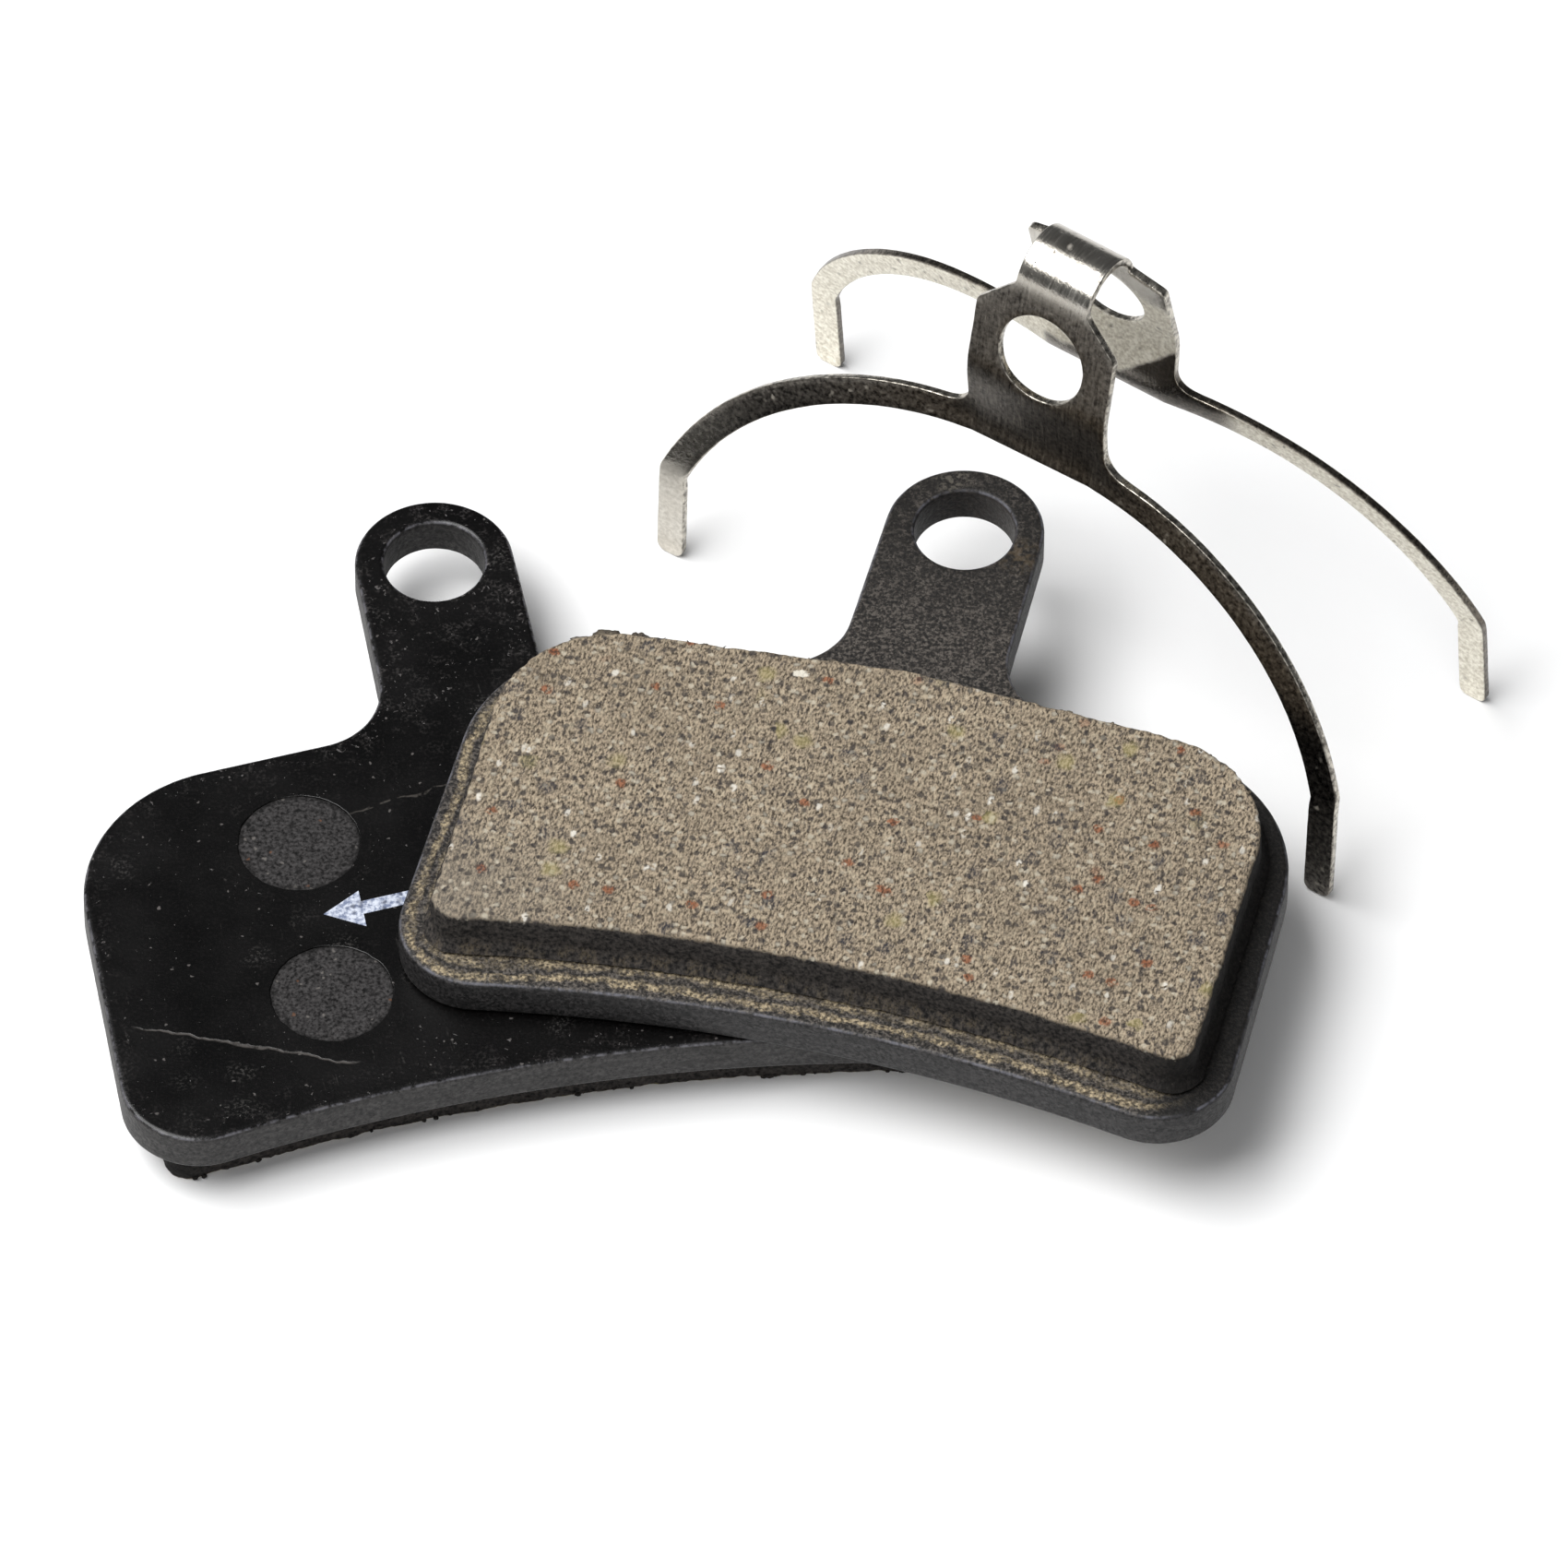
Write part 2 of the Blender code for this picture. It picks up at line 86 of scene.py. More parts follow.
SPRING_AT, SPRING_YAW = (12.35, 9.38), -34.5
SHEET, FOOT_Y = 0.40, 6.56
LEAN = {"front": 15.25, "rear": 13.65}
TIP_LEAN, TIP_V = 4.5, 5.35
ROLL = {"front": 1.45, "rear": 0.3}
ROLL_V, ROLL_FADE = 23.0, 3.0
ARM_U, ARM_V, ARM_R, LEG_W = 3.90, 0.78, 13.94, 1.34
CHEEK_X, EYE_V, EYE_R = 3.55, 20.19, 2.12
SHOULDER_V = {"front": 21.75, "rear": 22.6}
BOW_X, BOW_R = 1.82, 1.69
TUCK, TUCK_V, TUCK_H, BELLY, ARM_END_U = 0.99, 18.9, 4.4, 0.27, 16.8

SIDE = {"front": -1, "rear": 1}


def pad_matrix(at, yaw, z, flip):
    m = Matrix.Translation(((at[0] - ORIGIN[0]) * MM, (at[1] - ORIGIN[1]) * MM, z * MM))
    m = m @ Matrix.Rotation(math.radians(yaw), 4, "Z")
    return m @ Matrix.Rotation(math.pi, 4, "Y") if flip else m


REAR_M = pad_matrix(REAR_AT, REAR_YAW, 0, False)
FRONT_M = pad_matrix(FRONT_AT, FRONT_YAW, 2 * PAD_T + STACK_GAP, True)
SPRING_M = pad_matrix(SPRING_AT, SPRING_YAW, 0.02, False)


# ------------------------------------------------------------------ outlines
def fillet(p0, d0, p1, d1, r, n):
    p0, d0, p1, d1 = Vector(p0), Vector(d0).normalized(), Vector(p1), Vector(d1).normalized()
    det = d0.x * -d1.y + d1.x * d0.y
    q = p1 - p0
    s = (q.x * -d1.y + d1.x * q.y) / det
    cross = p0 + s * d0
    half = math.acos(max(-1, min(1, (-d0).dot(d1)))) / 2
    a = cross - d0 * (r / math.tan(half))
    b = cross + d1 * (r / math.tan(half))
    c = cross + (d1 - d0).normalized() * (r / math.sin(half))
    a0 = math.atan2(a.y - c.y, a.x - c.x)
    da = (math.atan2(b.y - c.y, b.x - c.x) - a0 + math.pi) % (2 * math.pi) - math.pi
    return [(c.x + r * math.cos(a0 + da * i / n), c.y + r * math.sin(a0 + da * i / n)) for i in range(n + 1)]


def lower_edge(px, py, flare, r, arc_y, arc_r, n_corner, n_arc):
    a = math.radians(flare)
    nrm = Vector((math.cos(a), math.sin(a)))
    down = Vector((math.sin(a), -math.cos(a)))
    c0 = Vector((0, arc_y - arc_r))
    q = Vector((px, py)) - nrm * r
    b = (q - c0).dot(down)
    c = (q - c0).length_squared - (arc_r + r) ** 2
    mid = q + down * (-b - math.sqrt(b * b - c))
    a0 = math.atan2(nrm.y, nrm.x)
    v = c0 - mid
    da = (math.atan2(v.y, v.x) - a0 + math.pi) % (2 * math.pi) - math.pi
    if da > 0:
        da -= 2 * math.pi
    pts = [(mid.x + r * math.cos(a0 + da * i / n_corner), mid.y + r * math.sin(a0 + da * i / n_corner))
           for i in range(n_corner + 1)]
    t = mid + v.normalized() * r
    w0 = math.atan2(t.y - c0.y, t.x - c0.x)
    pts += [(c0.x + arc_r * math.cos(w0 + (math.pi / 2 - w0) * i / n_arc),
             c0.y + arc_r * math.sin(w0 + (math.pi / 2 - w0) * i / n_arc)) for i in range(1, n_arc + 1)]
    return pts


def mirrored(half):
    return half + [(-x, y) for x, y in reversed(half[1:-1])]


def plate_outline():
    a = math.radians(TAB_FLARE)
    top = [(TAB_R * math.cos(math.pi / 2 + (a - math.pi / 2) * i / 40),
            TAB_R * math.sin(math.pi / 2 + (a - math.pi / 2) * i / 40)) for i in range(41)]
    s, f = math.radians(SHOULDER_SLOPE), math.radians(SIDE_FLARE)
    d0, d1, d2 = (math.sin(a), -math.cos(a)), (math.cos(s), -math.sin(s)), (math.sin(f), -math.cos(f))
    half = top + fillet(top[-1], d0, (0, SHOULDER_Y), d1, NECK_R, 24)
    half += fillet((0, SHOULDER_Y), d1, (SIDE_X, SIDE_Y), d2, UPPER_CORNER_R, 36)
    half += lower_edge(SIDE_X, SIDE_Y, SIDE_FLARE, LOWER_CORNER_R, ARC_Y, ARC_R, 30, 60)
    return mirrored(half)


def lining_outline(grow=0.0, shift=0.0):
    s, f = math.radians(LIN_TOP_SLOPE), math.radians(LIN_FLARE)
    top = (0, LIN_TOP_Y + grow)
    d1, d2 = (math.cos(s), -math.sin(s)), (math.sin(f), -math.cos(f))
    half = [top] + fillet(top, d1, (LIN_X + grow, LIN_SIDE_Y), d2, LIN_UPPER_R + grow, 30)
    half += lower_edge(LIN_X + grow, LIN_SIDE_Y, LIN_FLARE, LIN_LOWER_R + grow, LIN_ARC_Y - grow, LIN_ARC_R, 14, 50)
    return mirrored([(x, y + shift) for x, y in half])


def circle(cx, cy, r, n):
    return [(cx + r * math.cos(2 * math.pi * i / n), cy + r * math.sin(2 * math.pi * i / n)) for i in range(n)]


def even(loop, step):
    """The closed outline with its points spaced evenly, about step apart."""
    p = np.array(loop + [loop[0]], float)
    seg = np.hypot(*(p[1:] - p[:-1]).T)
    keep = np.concatenate(([True], seg > 1e-6))
    p = p[keep]
    s = np.concatenate(([0], np.cumsum(np.hypot(*(p[1:] - p[:-1]).T))))
    n = max(8, int(round(s[-1] / step)))
    q = np.linspace(0, s[-1], n, endpoint=False)
    return np.stack([np.interp(q, s, p[:, 0]), np.interp(q, s, p[:, 1])], 1)


def area(p):
    return 0.5 * np.sum(p[:, 0] * np.roll(p[:, 1], -1) - np.roll(p[:, 0], -1) * p[:, 1])


def turned(p, ccw):
    return p if (area(p) > 0) == ccw else p[::-1].copy()


def inward(p):
    """Unit normals that point into the material, for a counter-clockwise edge or a clockwise hole."""
    t = np.roll(p, -1, 0) - np.roll(p, 1, 0)
    t /= np.linalg.norm(t, axis=1)[:, None]
    return np.stack([-t[:, 1], t[:, 0]], 1)


def inside(pts, loops):
    """Which points lie in the material (even-odd rule over all outlines)."""
    hit = np.zeros(len(pts), bool)
    for p in loops:
        q = np.roll(p, -1, 0)
        for (x0, y0), (x1, y1) in zip(p, q):
            if y0 == y1:
                continue
            cross = ((pts[:, 1] >= y0) != (pts[:, 1] >= y1)) & (pts[:, 0] < x0 + (pts[:, 1] - y0) * (x1 - x0) / (y1 - y0))
            hit ^= cross
    return hit


def edge_distance(pts, loops):
    allp = np.concatenate(loops)
    d = np.full(len(pts), 1e9)
    for i in range(0, len(pts), 4000):
        c = pts[i:i + 4000]
        d[i:i + 4000] = np.sqrt(((c[:, None, :] - allp[None]) ** 2).sum(2)).min(1)
    return d


def triangulated(loops, spacing, seed):
    """Fills outlines with triangles whose corners are spaced about spacing apart. Returns points and triangles; the first points are the outlines' own."""
    rng = np.random.default_rng(seed)
    base = np.concatenate(loops)
    lo, hi = base.min(0), base.max(0)
    xs, ys = np.arange(lo[0], hi[0], spacing), np.arange(lo[1], hi[1], spacing * 0.866)
    gx, gy = np.meshgrid(xs, ys)
    gx = gx + (np.arange(len(ys)) % 2)[:, None] * spacing / 2
    g = np.stack([gx.ravel(), gy.ravel()], 1) + rng.uniform(-0.16, 0.16, (gx.size, 2)) * spacing
    g = g[inside(g, loops)]
    g = g[edge_distance(g, loops) > spacing * 0.55]
    pts = np.concatenate([base, g])
    edges, k = [], 0
    for p in loops:
        n = len(p)
        edges += [(k + i, k + (i + 1) % n) for i in range(n)]
        k += n
    v, _, f, ov, _, _ = delaunay_2d_cdt([Vector(p) for p in pts], edges, [], 0, 1e-9, True)
    back = [o[0] if o else -1 for o in ov]
    tris = np.array([[back[i] for i in t] for t in f if len(t) == 3])
    tris = tris[tris.min(1) >= 0]
    tris = tris[inside(pts[tris].mean(1), loops)]
    return pts, [[int(i) for i in t] for t in tris]


def grain(x, y, z, scale, seed=0.0):
    return noise.noise(Vector((x * scale + seed, y * scale - seed, z * scale + seed * 0.5)))


def mesh_object(name, verts, faces, mats, face_mat=None, attrs=None, smooth=40):
    me = bpy.data.meshes.new(name)
    lo, hi = CAD_BOX     # nothing pokes out of the part's own box
    me.from_pydata([[min(max(c, a), b) for c, a, b in zip(v, lo, hi)] for v in verts], [], faces)
    for m in mats:
        me.materials.append(m)
    if face_mat is not None:
        me.polygons.foreach_set("material_index", face_mat)
    me.polygons.foreach_set("use_smooth", [True] * len(me.polygons))
    me.update()
    me.set_sharp_from_angle(angle=math.radians(smooth))
    for key, vals in (attrs or {}).items():
        if vals.ndim == 2:
            a = me.attributes.new(key, "FLOAT_VECTOR", "POINT")
            a.data.foreach_set("vector", np.concatenate([vals, np.zeros((len(vals), 3 - vals.shape[1]))], 1).ravel())
        else:
            a = me.attributes.new(key, "FLOAT", "POINT")
            a.data.foreach_set("value", vals)
    o = bpy.data.objects.new(name, me)
    bpy.context.scene.collection.objects.link(o)
    return o


def slab(name, loops, profile, spacing, m, mats, wall=None, cap=None, seed=1, extra=None, smooth=40):
    """Solid between two flat faces. loops: the edge first, then holes. profile: (inset, z, wallness) from the low face to the high one, in mm.
    wall(x, y, z, loop) gives extra inset; cap(x, y, z, rim) gives a new z."""
    loops = [turned(p, i == 0) for i, p in enumerate(loops)]
    normals = [inward(p) for p in loops]
    verts, faces, rim, wallness, at = [], [], [], [], []
    rings = []
    for k, (d, z, w) in enumerate(profile):
        ring = []
        for li, (p, n) in enumerate(zip(loops, normals)):
            extra_d = np.array([wall(x, y, z, li) for x, y in p]) if wall else np.zeros(len(p))
            q = p + n * (d * (0.2 if li > 1 else 1.0) + extra_d)[:, None]
            ring.append((len(verts), q))
            zz = z
            if li > 1:      # plug holes keep a nearly sharp rim
                z_lo, z_hi = profile[0][1], profile[-1][1]
                zz = z_lo + (z - z_lo) * 0.2 if z - z_lo < 0.25 else z_hi - (z_hi - z) * 0.2 if z_hi - z < 0.25 else z
            for (x, y) in q:
                verts.append((x, y, zz))
                rim.append(d if li < 2 else 2.0)
                wallness.append(w if li < 2 else w * 0.3)
        rings.append(ring)
    for k in range(len(profile) - 1):
        for li, p in enumerate(loops):
            a, b, n = rings[k][li][0], rings[k + 1][li][0], len(p)
            for i in range(n):
                j = (i + 1) % n
                faces.append((a + i, a + j, b + j, b + i))
    for top in (False, True):
        ring = rings[-1 if top else 0]
        ls = [q for _, q in ring]
        pts, tris = triangulated(ls, spacing, seed)
        nb = sum(len(q) for q in ls)
        index = [a + i for a, q in ring for i in range(len(q))]
        z = profile[-1 if top else 0][1]
        d0 = profile[-1 if top else 0][0]
        dist = edge_distance(pts[nb:], ls) + d0 if len(pts) > nb else []
        for (x, y), dd in zip(pts[nb:], dist):
            index.append(len(verts))
            verts.append((x, y, cap(x, y, z, dd) if cap else z))
            rim.append(dd)
            wallness.append(0.0)
        for t in tris:
            t = [index[i] for i in t]
            ax, ay = verts[t[0]][:2]
            bx, by = verts[t[1]][:2]
            cx, cy = verts[t[2]][:2]
            up = (bx - ax) * (cy - ay) - (by - ay) * (cx - ax) > 0
            faces.append(tuple(t) if up == top else tuple(reversed(t)))
    if extra:
        for ev, ef, ew in extra:
            k = len(verts)
            verts += [(a, b, max(c, 0.0)) for a, b, c in ev]
            faces += [tuple(k + i for i in f) for f in ef]
            rim += [0.1] * len(ev)
            wallness += [ew] * len(ev)
    pad_xy = np.array([(x, y, z) for x, y, z in verts])
    out = [m @ Vector((x * MM, y * MM, z * MM)) for x, y, z in verts]
    return mesh_object(name, out, faces, mats, attrs={"pad": pad_xy, "rim": np.array(rim), "wall": np.array(wallness)}, smooth=smooth)


def rounded(z0, z1, r, n, walls=1):
    """Profile of a wall between two faces with rounded rims."""
    out = [(r + 0.07, z0, 0.0)]
    for i in range(n + 1):
        a = math.pi / 2 * i / n
        out.append((r * (1 - math.sin(a)), z0 + r * (1 - math.cos(a)), math.sin(a) ** 2))
    for i in range(1, walls):
        out.append((0, z0 + r + (z1 - z0 - 2 * r) * i / walls, 1.0))
    for i in range(n, -1, -1):
        a = math.pi / 2 * i / n
        out.append((r * (1 - math.sin(a)), z1 - r * (1 - math.cos(a)), math.sin(a) ** 2))
    out.append((r + 0.07, z1, 0.0))
    return out


# ------------------------------------------------------------------ materials
def C(r, g, b):
    return tuple(((v / 255 / 12.92) if v / 255 <= 0.04045 else ((v / 255 + 0.055) / 1.055) ** 2.4) for v in (r, g, b)) + (1.0,)


class Mat:
    def __init__(self, name):
        self.m = bpy.data.materials.new(name)
        self.m.use_nodes = True
        self.t = self.m.node_tree
        self.t.nodes.clear()
        self.out = self.t.nodes.new("ShaderNodeOutputMaterial")
        self.b = self.t.nodes.new("ShaderNodeBsdfPrincipled")
        self.t.links.new(self.b.outputs[0], self.out.inputs[0])
        co = self.t.nodes.new("ShaderNodeTexCoord")
        sc = self.t.nodes.new("ShaderNodeVectorMath")
        sc.operation = "SCALE"
        sc.inputs["Scale"].default_value = 1000.0
        self.t.links.new(co.outputs["Object"], sc.inputs[0])
        self.mm = sc.outputs[0]

    def put(self, socket, value):
        if isinstance(value, bpy.types.NodeSocket):
            self.t.links.new(value, socket)
        elif value is not None:
            socket.default_value = value

    def set(self, name, value):
        self.put(self.b.inputs[name], value)

    def attr(self, name, out="Fac"):
        n = self.t.nodes.new("ShaderNodeAttribute")
        n.attribute_name = name
        return n.outputs[out]

    def scaled(self, vec, s):
        n = self.t.nodes.new("ShaderNodeVectorMath")
        n.operation = "MULTIPLY"
        self.put(n.inputs[0], vec)
        n.inputs[1].default_value = s
        return n.outputs[0]

    def noise(self, scale, detail=2.0, rough=0.5, vec=None, warp=0.0):
        n = self.t.nodes.new("ShaderNodeTexNoise")
        n.inputs["Scale"].default_value = scale
        n.inputs["Detail"].default_value = detail
        n.inputs["Roughness"].default_value = rough
        n.inputs["Distortion"].default_value = warp
        self.t.links.new(vec or self.mm, n.inputs["Vector"])
        return n.outputs["Fac"]

    def warped(self, vec, scale, amount):
        n = self.t.nodes.new("ShaderNodeTexNoise")
        n.inputs["Scale"].default_value = scale
        n.inputs["Detail"].default_value = 1.0
        self.t.links.new(vec, n.inputs["Vector"])
        s = self.t.nodes.new("ShaderNodeVectorMath")
        s.operation = "MULTIPLY_ADD"
        self.t.links.new(n.outputs["Color"], s.inputs[0])
        s.inputs[1].default_value = (amount,) * 3
        self.t.links.new(vec, s.inputs[2])
        return s.outputs[0]

    def cells(self, scale, vec=None, flat=False):
        n = self.t.nodes.new("ShaderNodeTexVoronoi")
        n.voronoi_dimensions = "2D" if flat else "3D"
        n.inputs["Scale"].default_value = scale
        self.t.links.new(vec or self.mm, n.inputs["Vector"])
        sep = self.t.nodes.new("ShaderNodeSeparateColor")
        self.t.links.new(n.outputs["Color"], sep.inputs[0])
        return n.outputs["Distance"], sep.outputs[0], sep.outputs[1], sep.outputs[2]

    def range(self, v, a, b, c=0.0, d=1.0, smooth=False):
        n = self.t.nodes.new("ShaderNodeMapRange")
        n.interpolation_type = "SMOOTHSTEP" if smooth else "LINEAR"
        self.put(n.inputs["Value"], v)
        for k, x in (("From Min", a), ("From Max", b), ("To Min", c), ("To Max", d)):
            self.put(n.inputs[k], x)
        return n.outputs[0]

    def math(self, op, a, b=None, c=None):
        n = self.t.nodes.new("ShaderNodeMath")
        n.operation = op
        for i, x in enumerate((a, b, c)):
            if x is not None:
                self.put(n.inputs[i], x)
        return n.outputs[0]

    def mul(self, *v):
        out = v[0]
        for x in v[1:]:
            out = self.math("MULTIPLY", out, x)
        return out

    def mix(self, fac, a, b, mode="MIX"):
        n = self.t.nodes.new("ShaderNodeMix")
        n.data_type = "RGBA"
        n.blend_type = mode
        self.put(n.inputs[0], fac)
        self.put(n.inputs[6], a)
        self.put(n.inputs[7], b)
        return n.outputs[2]

    def ramp(self, fac, stops):
        n = self.t.nodes.new("ShaderNodeValToRGB")
        e = n.color_ramp.elements
        while len(e) < len(stops):
            e.new(0.5)
        for el, (p, c) in zip(e, stops):
            el.position = p
            el.color = c
        self.t.links.new(fac, n.inputs[0])
        return n.outputs[0]

    def xyz(self, vec):
        n = self.t.nodes.new("ShaderNodeSeparateXYZ")
        self.t.links.new(vec, n.inputs[0])
        return n.outputs

    def bump(self, height, dist_mm, strength=1.0):
        n = self.t.nodes.new("ShaderNodeBump")
        n.inputs["Distance"].default_value = dist_mm * MM
        n.inputs["Strength"].default_value = strength
        self.put(n.inputs["Height"], height)
        prev = self.b.inputs["Normal"].links
        if prev:
            self.t.links.new(prev[0].from_socket, n.inputs["Normal"])
        self.t.links.new(n.outputs[0], self.b.inputs["Normal"])


def friction_material(name, base_lo, base_hi):
    s = Mat(name)
    co = s.attr("pad", "Vector")
    x, y, z = s.xyz(co)
    fine = s.noise(7.2, 3.0, 0.66, s.scaled(co, (1.25, 0.58, 1.0)))
    base = s.mix(s.range(fine, 0.38, 0.62), base_lo, base_hi)
    mottle = s.noise(2.1, 3.0, 0.68, s.scaled(co, (1.3, 0.62, 1.0)))
    base = s.mix(s.mul(s.range(mottle, 0.46, 0.36), s.range(fine, 0.60, 0.44, 0.25, 1.0), 0.62), base, C(62, 60, 62))
    base = s.mix(s.mul(s.range(mottle, 0.55, 0.66), 0.35), base, C(196, 184, 160))
    tone = s.noise(0.30, 3.0, 0.6)
    base = s.mix(s.range(tone, 0.3, 0.7, 0.0, 0.30), base, C(104, 93, 78), "MIX")
    greyer = s.mul(s.range(x, 9.0, 16.0), s.range(y, -21.5, -26.0))
    base = s.mix(s.mul(greyer, 0.35), base, C(112, 108, 102))
    # ---- flecks of the mixture's fillers and fibres
    wv = s.warped(co, 4.0, 0.26)
    wide = s.warped(s.scaled(co, (1.0, 0.55, 1.0)), 3.0, 0.22)
    d, r, g, b = s.cells(2.6, wv, True)
    dark = s.mul(s.range(r, 0.74, 0.80), s.range(d, 0.24, 0.46, 1, 0))
    base = s.mix(s.mul(dark, 0.74), base, C(46, 44, 46))
    pale = s.mul(s.range(g, 0.76, 0.84), s.range(d, 0.16, 0.40, 1, 0))
    base = s.mix(s.mul(pale, 0.60), base, C(190, 182, 164))
    patchy = s.noise(3.4, 2.0, 0.6, co)
    d2, r2, g2, b2 = s.cells(1.8, wide, True)
    white = s.mul(s.range(g2, 0.935, 0.945), s.range(d2, 0.14, 0.28, 1, 0), s.range(patchy, 0.40, 0.48), s.range(b2, 0.0, 1.0, 0.45, 1.0))
    base = s.mix(s.mul(white, 0.95), base, C(216, 211, 200))
    d5, r5, g5, b5 = s.cells(1.15, s.scaled(wv, (1.0, 1.1, 1.0)), True)
    rust = s.mul(s.range(b5, 0.950, 0.960), s.range(d5, 0.22, 0.36, 1, 0), s.range(patchy, 0.36, 0.46), s.range(fine, 0.36, 0.48, 0.45, 1.0))
    base = s.mix(s.mul(rust, 0.82), base, s.mix(s.range(fine, 0.4, 0.6), C(84, 50, 34), C(146, 88, 58)))
    d3, r3, g3, b3 = s.cells(0.8, s.warped(co, 2.2, 0.5), True)
    yellow = s.mul(s.range(r3, 0.93, 0.95), s.range(d3, 0.15, 0.42, 1, 0))
    base = s.mix(s.mul(yellow, 0.40), base, C(158, 148, 92))
    big = s.mul(s.range(g3, 0.86, 0.89), s.range(d3, 0.20, 0.40, 1, 0), s.range(mottle, 0.62, 0.42, 0.2, 1.0), s.range(fine, 0.42, 0.58, 1.0, 0.45))
    base = s.mix(s.mul(big, 0.85), base, C(52, 52, 58))
    chip = s.math("POWER", s.math("ADD", s.math("POWER", s.mul(s.math("ADD", x, -4.52), 1.0), 2.0), s.math("POWER", s.mul(s.math("ADD", y, 11.42), 1.7), 2.0)), 0.5)
    chip = s.range(s.math("ADD", chip, s.range(s.noise(1.8, 3.0, 0.6), 0.3, 0.7, -0.16, 0.16)), 0.34, 0.42, 1, 0)
    base = s.mix(s.mul(chip, s.range(z, 0.5, 0.3), s.range(fine, 0.3, 0.5, 0.6, 1.0)), base, C(214, 208, 194))
    # ---- moulded walls are darker than the ground face
    w = s.attr("wall")
    wallc = s.mix(s.range(s.noise(5.2, 3.0, 0.62), 0.36, 0.66), C(15, 14, 14), C(62, 58, 55))
    wallc = s.mix(s.mul(s.range(x, -14.5, -16.0), 0.75), wallc, C(8, 7, 6))
    low = s.mul(s.range(z, 1.25, 1.75), s.range(x, -15.0, -13.5), s.range(s.noise(1.3, 3.0, 0.6), 0.45, 0.60), s.range(fine, 0.42, 0.55))
    wallc = s.mix(s.mul(low, 0.32), wallc, C(108, 96, 76))
    base = s.mix(s.range(s.math("ADD", w, s.range(fine, 0.3, 0.7, -0.32, 0.32)), 0.24, 0.74), base, wallc)
    s.set("Base Color", base)
    s.set("Roughness", s.range(fine, 0.3, 0.7, 0.98, 0.78))
    s.set("Specular IOR Level", 0.22)
    h = s.math("ADD", s.mul(fine, 0.8), s.mul(d, 0.30))
    s.bump(h, 0.050)
    s.bump(s.noise(1.4, 3.0, 0.6), 0.05)
    return s.m


def plug_material(name):
    s = Mat(name)
    co = s.attr("pad", "Vector")
    fine = s.noise(6.4, 3.0, 0.65)
    base = s.mix(s.range(fine, 0.36, 0.66), C(16, 15, 15), C(66, 64, 64))
    wv = s.warped(co, 4.0, 0.25)
    d, r, g, b = s.cells(3.0, wv, True)
    base = s.mix(s.mul(s.range(r, 0.94, 0.95), s.range(d, 0.12, 0.28, 1, 0), 0.8), base, C(104, 100, 96))
    base = s.mix(s.mul(s.range(g, 0.93, 0.94), s.range(d, 0.2, 0.4, 1, 0), 0.8), base, C(9, 9, 9))
    base = s.mix(s.mul(s.range(b, 0.975, 0.98), s.range(d, 0.14, 0.26, 1, 0), 0.6), base, C(104, 70, 48))
    fade = s.math("ADD", s.attr("rim"), s.range(s.noise(2.2, 2.0), 0.3, 0.7, -0.16, 0.16))
    base = s.mix(s.range(fade, 0.06, 0.30, 0.75, 0.0), base, C(12, 11, 11))
    s.set("Base Color", base)
    s.set("Roughness", s.range(fine, 0.3, 0.7, 0.95, 0.7))
    s.set("Specular IOR Level", 0.22)
    s.bump(s.math("ADD", fine, s.mul(d, 0.3)), 0.045)
    return s.m


def bond_material(name):
    s = Mat(name)
    fine = s.noise(4.0, 2.0, 0.6)
    s.set("Base Color", s.mix(s.range(fine, 0.35, 0.7), C(26, 24, 23), C(104, 92, 74)))
    s.set("Roughness", s.range(fine, 0.3, 0.7, 0.95, 0.7))
    s.bump(fine, 0.03)
    return s.m


